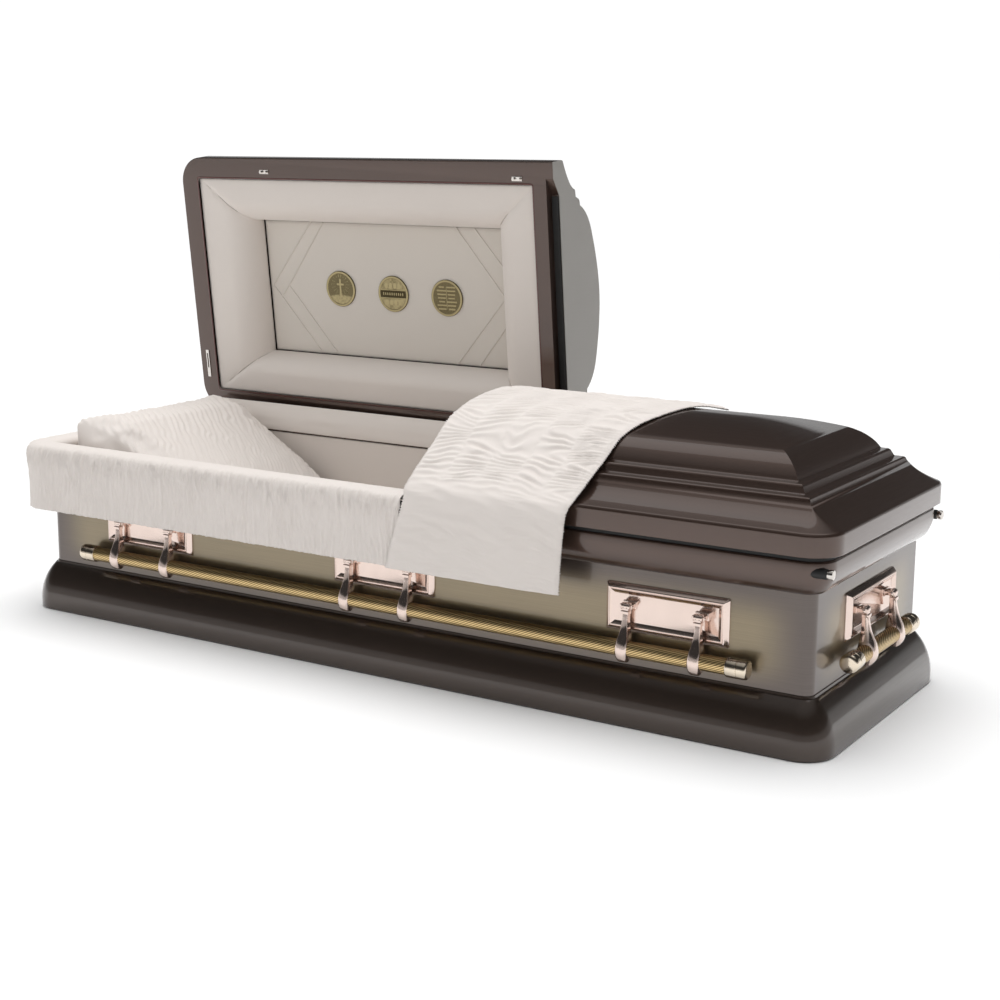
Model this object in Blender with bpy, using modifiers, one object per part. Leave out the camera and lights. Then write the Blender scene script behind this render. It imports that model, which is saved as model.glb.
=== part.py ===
"""Funeral casket of sheet metal with a lid in two parts.

The head lid stands open against its stop and shows its padded lining.
The foot lid is closed, under a cloth throw. Swing bars hang along both sides and both ends.
Metres, +Z up, X along the length with the foot end at +X, the lid hinges along +Y,
and the origin at the centre of the underside.
An inset is a distance inwards from the plan's outer rectangle.
"""
import math

import bmesh
import bpy
from mathutils import Matrix

# Overall plan
LENGTH = 2.10
WIDTH = 0.685
CORNER_RADIUS = 0.068
CORNER_STEPS = 4
SHEET = 0.0015
GAP = 0.0003
MERGE = 0.00001

# Base moulding
BASE_ARC_RADIUS = 0.128
BASE_ARC_BOTTOM = 0.020
BASE_ARC_TOP = 0.113
BASE_ARC_STEPS = 3
BASE_FLANGE_INSET = 0.044
BASE_EDGE = 0.004
BASE_GROOVE = (0.0425, 0.111)
BASE_LIP = (0.0440, 0.118)
BASE_WALL_FOOT = 0.110

# Body panels
BODY_INSET = 0.0458
BODY_BOTTOM = SHEET + GAP
BODY_TOP = 0.3862

# Top moulding and its gasket
RIM_BOTTOM = 0.317
RIM_FACE_INSET = 0.012
RIM_FACE_TOP = 0.3745
RIM_HANDLES = ((0.0240, 0.3190), (0.0105, 0.3590))
RIM_FACE_STEPS = 3
RIM_EDGE = ((0.0130, 0.3852), (0.0165, 0.388))
RIM_LEDGE_TOP = 0.388
RIM_LIP_INSET = 0.0575
RIM_LIP_BOTTOM = 0.368
GASKET_INSETS = (0.018, 0.026)
GASKET_TOP = 0.3955

# Lock pins on the foot end
PIN_RADIUS = 0.010
PIN_START = 0.985
PIN_END = 1.047
PIN_OFFSET = 0.315
PIN_HEIGHT = 0.367
PIN_SIDES = 12

# Lids
LID_BOTTOM = 0.398
LID_SKIRT_TOP = 0.4385
LID_CROWN = 0.5965
LID_SHOULDER = (0.0030, 0.4435)
LID_COVE = ((0.0300, 0.4535), (0.0715, 0.4735), (0.0755, 0.4940))
LID_STEPS = ((0.0800, 0.4965), (0.0940, 0.4980), (0.1010, 0.5120), (0.1050, 0.5150), (0.1170, 0.5170))
LID_DOME = ((0.1270, 0.5370), (0.1480, 0.5550), (0.1750, 0.5650))
LID_TOP = ((0.2150, 0.5780), (0.2800, LID_CROWN), (WIDTH / 2, LID_CROWN))
LID_FLANGE_INSET = 0.0555
HEAD_SHELL_END = 0.1007
HEAD_PLATE = (0.1010, 0.1025)
FOOT_PLATE = (0.1055, 0.1070)
FOOT_SHELL_START = 0.1073
OPEN_ANGLE = 83.5
HINGE_Y = 0.3506
HINGE_Z = 0.4156

# Header rail of the head lid, with the rebate for its gasket
HEADER_START = 0.0453
HEADER_END = 0.1004
HEADER_TOP = 0.4235
HEADER_SHOULDER = 0.306
REBATE_START = 0.081
REBATE_TOP = 0.421
REBATE_HALF = 0.263
REBATE_RAMP_END = 0.303
CUT_MARGIN = 0.010
STRIP_LOW = (0.0835, -0.260, 0.4175)
STRIP_HIGH = (0.1000, 0.260, REBATE_TOP - GAP)

# Lining of the head lid: the padded roll runs from the rim opening to the panel opening
ROLL_RIM = (-0.9935, 0.0450, -0.2875, 0.2875)
ROLL_PANEL = (-0.848, -0.086, -0.171, 0.186)
ROLL_FRONT = 0.4022
ROLL_DEEP = 0.479
ROLL_BACK = 0.483
ROLL_RIM_BACK = 0.440
ROLL_STEPS = 5
PANEL_FRONT = 0.4795
PANEL_THICKNESS = 0.010
MEDALLION_RADIUS = 0.0475
MEDALLION_THICKNESS = 0.0037
MEDALLION_BEVEL = 0.0015
MEDALLION_FACE_RADIUS = 0.045
MEDALLION_SIDES = 16
PANEL_INSET = 0.0005
MEDALLION_CENTRES = ((-0.607, 0.005), (-0.438, 0.010), (-0.272, 0.012))

# Studs and latch on the head lid's flange
STUD_CENTRES = {"left": (-0.765, -0.3076), "right": (0.0025, -0.3020)}
STUD_SPACING = 0.016
STUD_RADIUS = 0.0035
STUD_LENGTH = 0.0070
STUD_PLATE = (0.014, 0.005, 0.0012)
LATCH_CENTRE = (-1.0234, 0.218)
LATCH_PLATE = (0.005, 0.0375, 0.0018)
LATCH_SLOT = (0.002, 0.028, 0.012)

# Lining board of the foot lid
BOARD_LOW = (0.115, -0.282, 0.3992)
BOARD_HIGH = (0.989, 0.282, 0.4050)

# Hinges
BARREL_RADIUS = 0.006
HINGE_PIN_RADIUS = 0.0025
HINGE_BORE_RADIUS = 0.0034
KNUCKLE = 0.050
SIDE_KNUCKLE = 0.030
RAIL_THICKNESS = 0.0020
RAIL_HEIGHTS = (0.3800, 0.3825)
TAB_FOOT = 0.3900
TAB_REACH = 0.0035
LEAF_THICKNESS = 0.0018
LEAF_HEIGHTS = (0.402, 0.440)
LEAF_FOOT_HALF = 0.003
LEAF_FOOT_CLEARANCE = 0.0040
LEAF_FOOT_SINK = 0.001
HEAD_LEAF = (-0.930, 0.060)
FOOT_LEAF = (0.150, 0.930)
HEAD_STATIONS = (-0.780, -0.060)
FOOT_STATIONS = (0.300, 0.800)

# Swing-bar hardware, from its hinge axis: -Y is outwards and X runs along the bar
AXIS_HEIGHT = 0.245
AXIS_OFFSET = 0.0225
BAR_OUT = 0.0075
BAR_DROP = 0.085
BAR_RADIUS = 0.0165
BAR_BORE_RADIUS = 0.0183
CAP_RADIUS = 0.020
CAP_LENGTH = 0.045
CAP_BEVEL = 0.003
CAP_SHOULDER = 0.001
BAR_SIDES = 10
SIDE_BAR_HALF = 0.880
END_BAR_HALF = 0.185
ARM_SPACING = 0.079
PLATE_HALF_LENGTH = 0.135
PLATE_LOW = -0.058
PLATE_HIGH = 0.0415
PLATE_STEPS = ((0.0, 0.0), (0.0, 0.0030), (0.0095, 0.0110), (0.0135, 0.0110), (0.0215, 0.0060))
LUG_SPAN = (0.0104, 0.0134)
LUG_HALF = 0.0045
LUG_BACK = 0.0180
PLATE_PIN_RADIUS = 0.0027
PLATE_PIN_HALF = 0.0120
ARM_KNUCKLE_RADIUS = 0.0080
ARM_KNUCKLE_HALF = 0.0100
ARM_BORE_RADIUS = 0.0037
ARM_CORNER_SHARE = 0.35
BORE_REACH = 0.05
SIDE_CENTRE = 0.010
SIDE_PITCH = 0.689

# An arm's levels: height, half width, front and back
ARM_LEVELS = (
    (-0.0040, 0.0070, -0.0070, 0.0065),
    (-0.0450, 0.0085, -0.0130, 0.0070),
    (-0.0700, 0.0130, -0.0250, 0.0115),
    (-0.0930, 0.0148, -0.0285, 0.0125),
    (-0.1120, 0.0100, -0.0175, 0.0000),
)

# Soft parts
MATTRESS_HALF = (0.975, 0.268)
MATTRESS_TOP = 0.210
LINING_INSETS = (0.058, 0.066)
LINING_HEIGHTS = (0.050, 0.385)
APRON_HEM = 0.258
APRON_UNDER = 0.3985
APRON_WALL = 0.012
APRON_ROUND = 0.006
APRON_EDGE = 0.008
APRON_DROP = 0.020
APRON_TOP = 0.418
APRON_OUT = -0.0195
APRON_RIGHT = 0.098
APRON_BACK = 0.260
THROW_HEM = 0.258
THROW_THICKNESS = 0.010
PILLOW_HALF = 0.264
FLAP_ENDS = (-0.985, 0.095)
FLAP_SECTION = ((0.2710, 0.3890), (0.2790, 0.3890), (0.3100, 0.4570), (0.3020, 0.4570))

# The throw's lines across, from the front hem to the back: y, height, left and right edges
THROW_LINES = (
    (-0.3665, THROW_HEM, 0.065, 0.490),
    (-0.3665, 0.330, 0.085, 0.495),
    (-0.3660, 0.405, 0.1085, 0.502),
    (-0.3600, 0.432, 0.1085, 0.506),
    (-0.3450, 0.447, 0.1085, 0.510),
    (-0.2740, 0.4985, 0.1085, 0.520),
    (-0.2450, 0.5175, 0.1085, 0.524),
    (-0.2180, 0.5390, 0.1085, 0.528),
    (-0.1880, 0.5600, 0.1085, 0.533),
    (-0.1400, 0.5780, 0.1085, 0.545),
    (-0.0875, 0.5900, 0.1085, 0.562),
    (-0.0100, 0.5995, 0.1085, 0.585),
    (0.0600, 0.5965, 0.1085, 0.600),
    (0.1500, 0.5790, 0.1085, 0.615),
)

# The pillow's side outline above the mattress, as x and height
PILLOW_SLOPE = (
    (-0.533, 0.270), (-0.627, 0.343), (-0.724, 0.404), (-0.830, 0.468), (-0.940, 0.489), (-0.982, 0.484))
PILLOW_FOOT = (-0.982, -0.500)


# Scene and materials


def clear_scene():
    for obj in list(bpy.data.objects):
        bpy.data.objects.remove(obj, do_unlink=True)


def metal(name, colour, roughness, metallic):
    material = bpy.data.materials.new(name)
    material.use_nodes = True
    shader = material.node_tree.nodes["Principled BSDF"]
    shader.inputs["Base Color"].default_value = (*colour, 1.0)
    shader.inputs["Roughness"].default_value = roughness
    shader.inputs["Metallic"].default_value = metallic
    return material


def make_collection(name):
    collection = bpy.data.collections.new(name)
    bpy.context.scene.collection.children.link(collection)
    return collection


def add_object(name, mesh, material=None):
    obj = bpy.data.objects.new(name, mesh)
    CASKET.objects.link(obj)
    if material is not None:
        mesh.materials.clear()
        mesh.materials.append(material)
    return obj


def add_empty(name, location, parent=None):
    empty = bpy.data.objects.new(name, None)
    CASKET.objects.link(empty)
    empty.location = location
    empty.parent = parent
    return empty


# Shapes


def mesh_from(shape, name):
    bmesh.ops.recalc_face_normals(shape, faces=shape.faces)
    mesh = bpy.data.meshes.new(name)
    shape.to_mesh(mesh)
    shape.free()
    return mesh


def evaluated_mesh(obj):
    bpy.context.view_layer.update()
    depsgraph = bpy.context.evaluated_depsgraph_get()
    return bpy.data.meshes.new_from_object(obj.evaluated_get(depsgraph))


def loft(name, rings, material=None, closed=False, caps=(True, True)):
    """Join rings of equally many points. A closed loft's last ring joins its first."""
    shape = bmesh.new()
    loops = [[shape.verts.new(point) for point in points] for points in rings]
    count = len(rings[0])
    pairs = list(zip(loops, loops[1:]))
    if closed:
        pairs.append((loops[-1], loops[0]))
    for lower, upper in pairs:
        for index in range(count):
            after = (index + 1) % count
            shape.faces.new((lower[index], lower[after], upper[after], upper[index]))
    if caps[0] and not closed:
        shape.faces.new(loops[0])
    if caps[1] and not closed:
        shape.faces.new(loops[-1])
    bmesh.ops.remove_doubles(shape, verts=shape.verts, dist=MERGE)
    return add_object(name, mesh_from(shape, name), material)


def plan_ring(inset, height):
    """The plan's rounded rectangle, inset and raised. Its corners are sharp past the corner radius."""
    radius = max(CORNER_RADIUS - inset, 0.0)
    reach_x = LENGTH / 2 - inset - radius
    reach_y = WIDTH / 2 - inset - radius
    points = []
    for quarter, (side_x, side_y) in enumerate(((1, 1), (-1, 1), (-1, -1), (1, -1))):
        for step in range(CORNER_STEPS + 1):
            angle = math.radians(90 * (quarter + step / CORNER_STEPS))
            x = side_x * reach_x + radius * math.cos(angle)
            y = side_y * reach_y + radius * math.sin(angle)
            points.append((x, y, height))
    return points


def moulding(name, profile, material):
    """A closed profile of insets and heights, led around the plan."""
    return loft(name, [plan_ring(inset, height) for inset, height in profile], material, closed=True)


def bezier(start, handle_a, handle_b, end, steps):
    """Points of a cubic curve after its start, up to its end."""
    points = []
    for step in range(1, steps + 1):
        t = step / steps
        weights = ((1 - t) ** 3, 3 * (1 - t) ** 2 * t, 3 * (1 - t) * t ** 2, t ** 3)
        corners = (start, handle_a, handle_b, end)
        points.append(tuple(sum(w * corner[axis] for w, corner in zip(weights, corners)) for axis in (0, 1)))
    return points


def offset_line(points, distance):
    """The same outline, moved to the right of its direction by distance, with mitred corners."""
    moved = []
    for index, (x, y) in enumerate(points):
        before = points[max(index - 1, 0)]
        after = points[min(index + 1, len(points) - 1)]
        normals = []
        for (x0, y0), (x1, y1) in ((before, (x, y)), ((x, y), after)):
            length = math.hypot(x1 - x0, y1 - y0)
            if length > 0:
                normals.append(((y1 - y0) / length, -(x1 - x0) / length))
        first, last = normals[0], normals[-1]
        scale = distance / (1 + first[0] * last[0] + first[1] * last[1])
        moved.append((x + scale * (first[0] + last[0]), y + scale * (first[1] + last[1])))
    return moved


def box(name, low, high, material=None):
    shape = bmesh.new()
    bmesh.ops.create_cube(shape, size=1.0)
    for vertex in shape.verts:
        for axis in range(3):
            vertex.co[axis] = low[axis] + (vertex.co[axis] + 0.5) * (high[axis] - low[axis])
    return add_object(name, mesh_from(shape, name), material)


def rod(name, radius, start, end, centre, sides, material=None, axis="X"):
    """A cylinder along X or Z, from start to end on that axis, through centre on the other two."""
    shape = bmesh.new()
    bmesh.ops.create_cone(
        shape, cap_ends=True, segments=sides, radius1=radius, radius2=radius, depth=end - start)
    middle = (start + end) / 2
    if axis == "X":
        place = Matrix.Translation((middle, *centre)) @ Matrix.Rotation(math.radians(90), 4, "Y")
    else:
        place = Matrix.Translation((*centre, middle))
    bmesh.ops.transform(shape, matrix=place, verts=shape.verts)
    return add_object(name, mesh_from(shape, name), material)


def slab(name, outline, start, end, axis, material=None):
    """A flat outline with a thickness: (y, z) points extruded along X, or (x, z) points along Y."""
    curve = bpy.data.curves.new(name, "CURVE")
    curve.dimensions = "2D"
    curve.fill_mode = "BOTH"
    curve.extrude = (end - start) / 2
    spline = curve.splines.new("POLY")
    spline.points.add(len(outline) - 1)
    for point, (u, v) in zip(spline.points, outline):
        point.co = (u, v, 0.0, 1.0)
    spline.use_cyclic_u = True
    guide = bpy.data.objects.new(name, curve)
    CASKET.objects.link(guide)
    shape = bmesh.new()
    shape.from_mesh(evaluated_mesh(guide))
    bpy.data.objects.remove(guide, do_unlink=True)
    bmesh.ops.remove_doubles(shape, verts=shape.verts, dist=MERGE)
    middle = (start + end) / 2
    if axis == "X":
        place = Matrix(((0, 0, 1, middle), (1, 0, 0, 0), (0, 1, 0, 0), (0, 0, 0, 1)))
    else:
        place = Matrix(((1, 0, 0, 0), (0, 0, -1, middle), (0, 1, 0, 0), (0, 0, 0, 1)))
    bmesh.ops.transform(shape, matrix=place, verts=shape.verts)
    return add_object(name, mesh_from(shape, name), material)


def combine(target, tools, operation):
    """Unite the target with each tool, or cut each tool from it. The tools are used up."""
    for tool in tools:
        modifier = target.modifiers.new(operation, "BOOLEAN")
        modifier.operation = operation
        modifier.object = tool
    mesh = evaluated_mesh(target)
    target.modifiers.clear()
    target.data = mesh
    for tool in tools:
        bpy.data.objects.remove(tool, do_unlink=True)
    return target


def unite(target, *tools):
    return combine(target, tools, "UNION")


def cut(target, *tools):
    return combine(target, tools, "DIFFERENCE")


# Body


def base_moulding(material):
    outer = [(BASE_FLANGE_INSET, 0.0), (BASE_EDGE, 0.0), (0.0, BASE_EDGE), (0.0, BASE_ARC_BOTTOM)]
    for step in range(1, BASE_ARC_STEPS + 1):
        height = BASE_ARC_BOTTOM + (BASE_ARC_TOP - BASE_ARC_BOTTOM) * step / BASE_ARC_STEPS
        rise = height - BASE_ARC_BOTTOM
        outer.append((BASE_ARC_RADIUS - math.sqrt(BASE_ARC_RADIUS ** 2 - rise ** 2), height))
    outer += [BASE_GROOVE, BASE_LIP, (BODY_INSET - GAP, BASE_LIP[1])]
    inner = offset_line(outer, SHEET)
    inner[0] = (BASE_FLANGE_INSET, SHEET)
    inner[-2:] = [(BODY_INSET - GAP, BASE_WALL_FOOT)]
    return moulding("base_moulding", outer + inner[::-1], material)


def top_moulding_profile():
    foot = (BODY_INSET - GAP, RIM_BOTTOM)
    outer = [foot] + bezier(foot, *RIM_HANDLES, (RIM_FACE_INSET, RIM_FACE_TOP), RIM_FACE_STEPS)
    outer += [*RIM_EDGE, (RIM_LIP_INSET, RIM_LEDGE_TOP), (RIM_LIP_INSET, RIM_LIP_BOTTOM)]
    inner = offset_line(outer, SHEET)
    inner[0] = (BODY_INSET - GAP, RIM_BOTTOM + SHEET)
    return outer + inner[::-1]


def top_moulding(material):
    rim = moulding("top_moulding", top_moulding_profile(), material)
    holes = []
    for side in (1, -1):
        centre = (side * PIN_OFFSET, PIN_HEIGHT)
        holes.append(rod("pin_hole", PIN_RADIUS + GAP, PIN_START, PIN_END + CUT_MARGIN, centre, PIN_SIDES))
    return cut(rim, *holes)


def make_body(finish):
    base_moulding(finish["base"])
    pan_rings = [plan_ring(BASE_FLANGE_INSET + GAP, height) for height in (0.0, SHEET)]
    loft("bottom_pan", pan_rings, finish["body"])
    walls = (BODY_INSET, BODY_INSET + SHEET)
    outer, inner = walls
    body_profile = [(outer, BODY_BOTTOM), (inner, BODY_BOTTOM), (inner, BODY_TOP), (outer, BODY_TOP)]
    moulding("body_shell", body_profile, finish["body"])
    top_moulding(finish["lid"])
    low, high = RIM_LEDGE_TOP + GAP, GASKET_TOP
    near, far = GASKET_INSETS
    moulding("rim_gasket", [(near, low), (far, low), (far, high), (near, high)], finish["rubber"])
    for name, side in (("lid_pin_front", -1), ("lid_pin_back", 1)):
        centre = (side * PIN_OFFSET, PIN_HEIGHT)
        rod(name, PIN_RADIUS, PIN_START, PIN_END, centre, PIN_SIDES, finish["chrome"])


# Lid hinges


def knuckle(start, end):
    return rod("barrel", BARREL_RADIUS, start, end, (HINGE_Y, HINGE_Z), 8)


def hinge_rail(material):
    """A bent strip on the rim, with one knuckle and a through pin at each station."""
    strip_top = HINGE_Z - BARREL_RADIUS - GAP
    face = WIDTH / 2 - RIM_FACE_INSET + GAP
    back = HINGE_Y + RAIL_THICKNESS
    low, high = RAIL_HEIGHTS
    outline = [
        (face, low), (back, low), (back, strip_top), (HINGE_Y, strip_top), (HINGE_Y, high), (face, high)]
    rail = slab("hinge_rail", outline, HEAD_LEAF[0], FOOT_LEAF[1], "X", material)
    reach = KNUCKLE / 2 + GAP + SIDE_KNUCKLE
    tools = []
    for x in HEAD_STATIONS + FOOT_STATIONS:
        start, end = x - KNUCKLE / 2, x + KNUCKLE / 2
        tools.append(box("tab", (start, HINGE_Y, TAB_FOOT), (end, back, HINGE_Z - TAB_REACH)))
        tools.append(knuckle(start, end))
        tools.append(rod("hinge_pin", HINGE_PIN_RADIUS, x - reach, x + reach, (HINGE_Y, HINGE_Z), 6))
    return unite(rail, *tools)


def hinge_leaf(name, span, stations, material):
    """A strip on the lid's skirt, with a bored knuckle on either side of each station."""
    face = WIDTH / 2 + GAP
    low, high = LEAF_HEIGHTS
    leaf = box(name, (span[0], face, low), (span[1], face + LEAF_THICKNESS, high), material)
    tools = []
    for x in stations:
        for side in (-1, 1):
            near = x + side * (KNUCKLE / 2 + GAP)
            far = near + side * SIDE_KNUCKLE
            start, end = min(near, far), max(near, far)
            barrel = knuckle(start, end)
            foot_low = (start, face + LEAF_FOOT_SINK, HINGE_Z - LEAF_FOOT_HALF)
            foot_high = (end, HINGE_Y - LEAF_FOOT_CLEARANCE, HINGE_Z + LEAF_FOOT_HALF)
            unite(barrel, box("foot", foot_low, foot_high))
            cut(barrel, rod("bore", HINGE_BORE_RADIUS, start - GAP, end + GAP, (HINGE_Y, HINGE_Z), 6))
            tools.append(barrel)
    return unite(leaf, *tools)


# Lids, modelled closed


def lid_line():
    """The lid's outer section, from the foot of its skirt to the crown, as insets and heights."""
    line = [(0.0, LID_BOTTOM), (0.0, LID_SKIRT_TOP), LID_SHOULDER]
    line += bezier(line[-1], *LID_COVE, 4)
    line += LID_STEPS
    line += bezier(line[-1], *LID_DOME, 3)
    line += bezier(line[-1], *LID_TOP, 3)
    return line


def lid_shell(name, keep_head, material):
    outer = [(LID_FLANGE_INSET, LID_BOTTOM)] + lid_line()
    inner = offset_line(outer, SHEET)
    inner[0] = (LID_FLANGE_INSET, LID_BOTTOM + SHEET)
    inner[-1] = (WIDTH / 2, LID_CROWN - SHEET)
    rings = [plan_ring(inset, height) for inset, height in inner[::-1] + outer]
    shell = loft(name, rings, material, caps=(False, False))
    if keep_head:
        cutter = box("cutter", (HEAD_SHELL_END, -1, 0), (2, 1, 1))
    else:
        cutter = box("cutter", (-2, -1, 0), (FOOT_SHELL_START, 1, 1))
    return cut(shell, cutter)


def rebate_cutter():
    run = REBATE_RAMP_END - REBATE_HALF
    below = LID_BOTTOM - CUT_MARGIN
    spread = REBATE_RAMP_END + run * CUT_MARGIN / (REBATE_TOP - LID_BOTTOM)
    outline = [(-spread, below), (spread, below), (REBATE_HALF, REBATE_TOP), (-REBATE_HALF, REBATE_TOP)]
    return slab("rebate", outline, REBATE_START, HEAD_PLATE[1] + CUT_MARGIN, "X")


def end_plate(name, span, material):
    front = [(inset - WIDTH / 2, height) for inset, height in lid_line()]
    back = [(-y, height) for y, height in front[-2::-1]]
    return slab(name, front + back, span[0], span[1], "X", material)


def header_rail(material):
    inner_edge = WIDTH / 2 - LID_FLANGE_INSET - GAP
    floor = LID_BOTTOM + SHEET
    low = (HEADER_START, -inner_edge, LID_BOTTOM)
    rail = box("head_lid_header_rail", low, (HEADER_END, inner_edge, HEADER_TOP), material)
    upper_low = (HEADER_START, -HEADER_SHOULDER, floor + GAP)
    unite(rail, box("upper", upper_low, (HEADER_END, HEADER_SHOULDER, HEADER_TOP)))
    pocket_half = inner_edge - SHEET
    pocket_high = (REBATE_START - SHEET, pocket_half, HEADER_TOP + CUT_MARGIN)
    pocket = box("pocket", (HEADER_START + SHEET, -pocket_half, floor), pocket_high)
    return cut(rail, pocket, rebate_cutter())


def roll_frame(material):
    """The padded roll: flat beside the rim, then rounding down to the panel, with mitred corners."""
    section = [(0.0, ROLL_FRONT), (0.5, ROLL_FRONT)]
    for step in range(1, ROLL_STEPS + 1):
        angle = math.radians(90 * step / ROLL_STEPS)
        section.append((0.5 + 0.5 * math.sin(angle), ROLL_DEEP - (ROLL_DEEP - ROLL_FRONT) * math.cos(angle)))
    section += [(1.0, ROLL_BACK), (0.0, ROLL_RIM_BACK)]
    rings = []
    for share, height in section:
        left, right, low, high = (a + (b - a) * share for a, b in zip(ROLL_RIM, ROLL_PANEL))
        corners = ((left, low), (right, low), (right, high), (left, high))
        rings.append([(x, y, height) for x, y in corners])
    return loft("cap_roll_frame", rings, material, closed=True)


def medallion(name, centre, material):
    """A round disc with a bevelled front edge, lying on the panel."""
    back = PANEL_FRONT - GAP
    front = back - MEDALLION_THICKNESS
    rings = []
    edge = front + MEDALLION_BEVEL
    sections = ((MEDALLION_RADIUS, back), (MEDALLION_RADIUS, edge), (MEDALLION_FACE_RADIUS, front))
    for radius, height in sections:
        ring = []
        for step in range(MEDALLION_SIDES):
            angle = math.radians(360 * step / MEDALLION_SIDES)
            ring.append((centre[0] + radius * math.cos(angle), centre[1] + radius * math.sin(angle), height))
        rings.append(ring)
    return loft(name, rings, material)


def catch_studs(name, centre, material):
    """A small plate with two posts, under the lid's flange."""
    x, y = centre
    half_x, half_y, thickness = STUD_PLATE
    top = LID_BOTTOM - GAP
    plate = box(name, (x - half_x, y - half_y, top - thickness), (x + half_x, y + half_y, top), material)
    posts = []
    for side in (-1, 1):
        place = (x + side * STUD_SPACING / 2, y)
        posts.append(rod("post", STUD_RADIUS, top - STUD_LENGTH, top - thickness / 2, place, 8, axis="Z"))
    return unite(plate, *posts)


def lid_latch(material):
    x, y = LATCH_CENTRE
    half_x, half_y, thickness = LATCH_PLATE
    slot_half, slot_near, slot_far = LATCH_SLOT
    top = LID_BOTTOM - GAP
    plate_low = (x - half_x, y - half_y, top - thickness)
    plate = box("lid_latch", plate_low, (x + half_x, y + half_y, top), material)
    slot_low = (x - slot_half, y - slot_near, top - CUT_MARGIN)
    return cut(plate, box("slot", slot_low, (x + slot_half, y + slot_far, top + CUT_MARGIN)))


def make_lids(finish):
    hinge = (0.0, HINGE_Y, HINGE_Z)
    head = add_empty("head_lid_pivot", hinge)
    foot = add_empty("foot_lid_pivot", hinge)
    head_shell = cut(lid_shell("head_lid_shell", True, finish["lid"]), rebate_cutter())
    head_plate = cut(end_plate("head_lid_end_plate", HEAD_PLATE, finish["plate"]), rebate_cutter())
    strip = box("head_lid_gasket", STRIP_LOW, STRIP_HIGH, finish["rubber"])
    left, right, low, high = ROLL_PANEL
    panel_low = (left + PANEL_INSET, low + PANEL_INSET, PANEL_FRONT)
    panel_high = (right - PANEL_INSET, high - PANEL_INSET, PANEL_FRONT + PANEL_THICKNESS)
    panel = box("cap_panel", panel_low, panel_high, finish["cloth"])
    head_pieces = [head_shell, head_plate, strip, panel]
    head_pieces.append(header_rail(finish["lid"]))
    head_pieces.append(hinge_leaf("head_lid_hinge_leaf", HEAD_LEAF, HEAD_STATIONS, finish["lid"]))
    head_pieces.append(roll_frame(finish["cloth"]))
    for number, centre in enumerate(MEDALLION_CENTRES, start=1):
        head_pieces.append(medallion(f"medallion_{number}", centre, finish["brass"]))
    for side, centre in STUD_CENTRES.items():
        head_pieces.append(catch_studs(f"catch_studs_{side}", centre, finish["chrome"]))
    head_pieces.append(lid_latch(finish["chrome"]))

    board = box("foot_lid_panel", BOARD_LOW, BOARD_HIGH, finish["cloth"])
    foot_pieces = [board, lid_shell("foot_lid_shell", False, finish["lid"])]
    foot_pieces.append(end_plate("foot_lid_end_plate", FOOT_PLATE, finish["plate"]))
    foot_pieces.append(hinge_leaf("foot_lid_hinge_leaf", FOOT_LEAF, FOOT_STATIONS, finish["lid"]))
    foot_pieces.append(make_throw(finish["cloth"]))
    for pivot, pieces in ((head, head_pieces), (foot, foot_pieces)):
        for piece in pieces:
            piece.parent = pivot
            piece.matrix_parent_inverse = Matrix.Translation(hinge).inverted()
    head.rotation_euler.x = -math.radians(OPEN_ANGLE)


# Soft parts


def make_throw(material):
    """A folded cloth over the foot lid and down its front."""
    shape = bmesh.new()
    edges = []
    for y, height, left, right in THROW_LINES:
        edges.append([shape.verts.new((x, y, height)) for x in (left, right)])
    for (a, b), (c, d) in zip(edges, edges[1:]):
        shape.faces.new((a, b, d, c))
    mesh = bpy.data.meshes.new("throw")
    shape.to_mesh(mesh)
    shape.free()
    cloth = add_object("throw", mesh, material)
    wall = cloth.modifiers.new("cloth_thickness", "SOLIDIFY")
    wall.thickness = THROW_THICKNESS
    wall.offset = 1.0
    wall.use_even_offset = True
    return cloth


def apron(material):
    """A padded band over the front and head rim, hanging down outside them."""
    inner, outer = LINING_INSETS[0], APRON_OUT
    profile = [(inner, APRON_UNDER), (inner, APRON_UNDER + APRON_EDGE)]
    profile += [(inner - APRON_WALL, APRON_TOP), (0.0, APRON_TOP)]
    profile += [(outer + APRON_ROUND, APRON_TOP - APRON_ROUND), (outer, APRON_TOP - APRON_DROP)]
    profile += [(outer, APRON_HEM), (outer + APRON_WALL, APRON_HEM), (outer + APRON_WALL, APRON_UNDER)]
    band = moulding("apron", profile, material)
    right = box("right_part", (APRON_RIGHT, -1, 0), (2, 1, 1))
    back = box("back_part", (-2, APRON_BACK, 0), (2, 1, 1))
    return cut(band, right, back)


def make_interior(finish):
    cloth = finish["cloth"]
    x, y = MATTRESS_HALF
    box("mattress", (-x, -y, SHEET + GAP), (x, y, MATTRESS_TOP), cloth)
    near, far = LINING_INSETS
    low, high = LINING_HEIGHTS
    moulding("side_lining", [(near, low), (far, low), (far, high), (near, high)], cloth)
    slab("hinge_side_lining", FLAP_SECTION, *FLAP_ENDS, "X", cloth)
    rest = MATTRESS_TOP + GAP
    wedge = [(PILLOW_FOOT[0], rest), (PILLOW_FOOT[1], rest), *PILLOW_SLOPE]
    slab("pillow", wedge, -PILLOW_HALF, PILLOW_HALF, "Y", cloth)
    apron(cloth)


# Swing-bar hardware, modelled about its hinge axis


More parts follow.
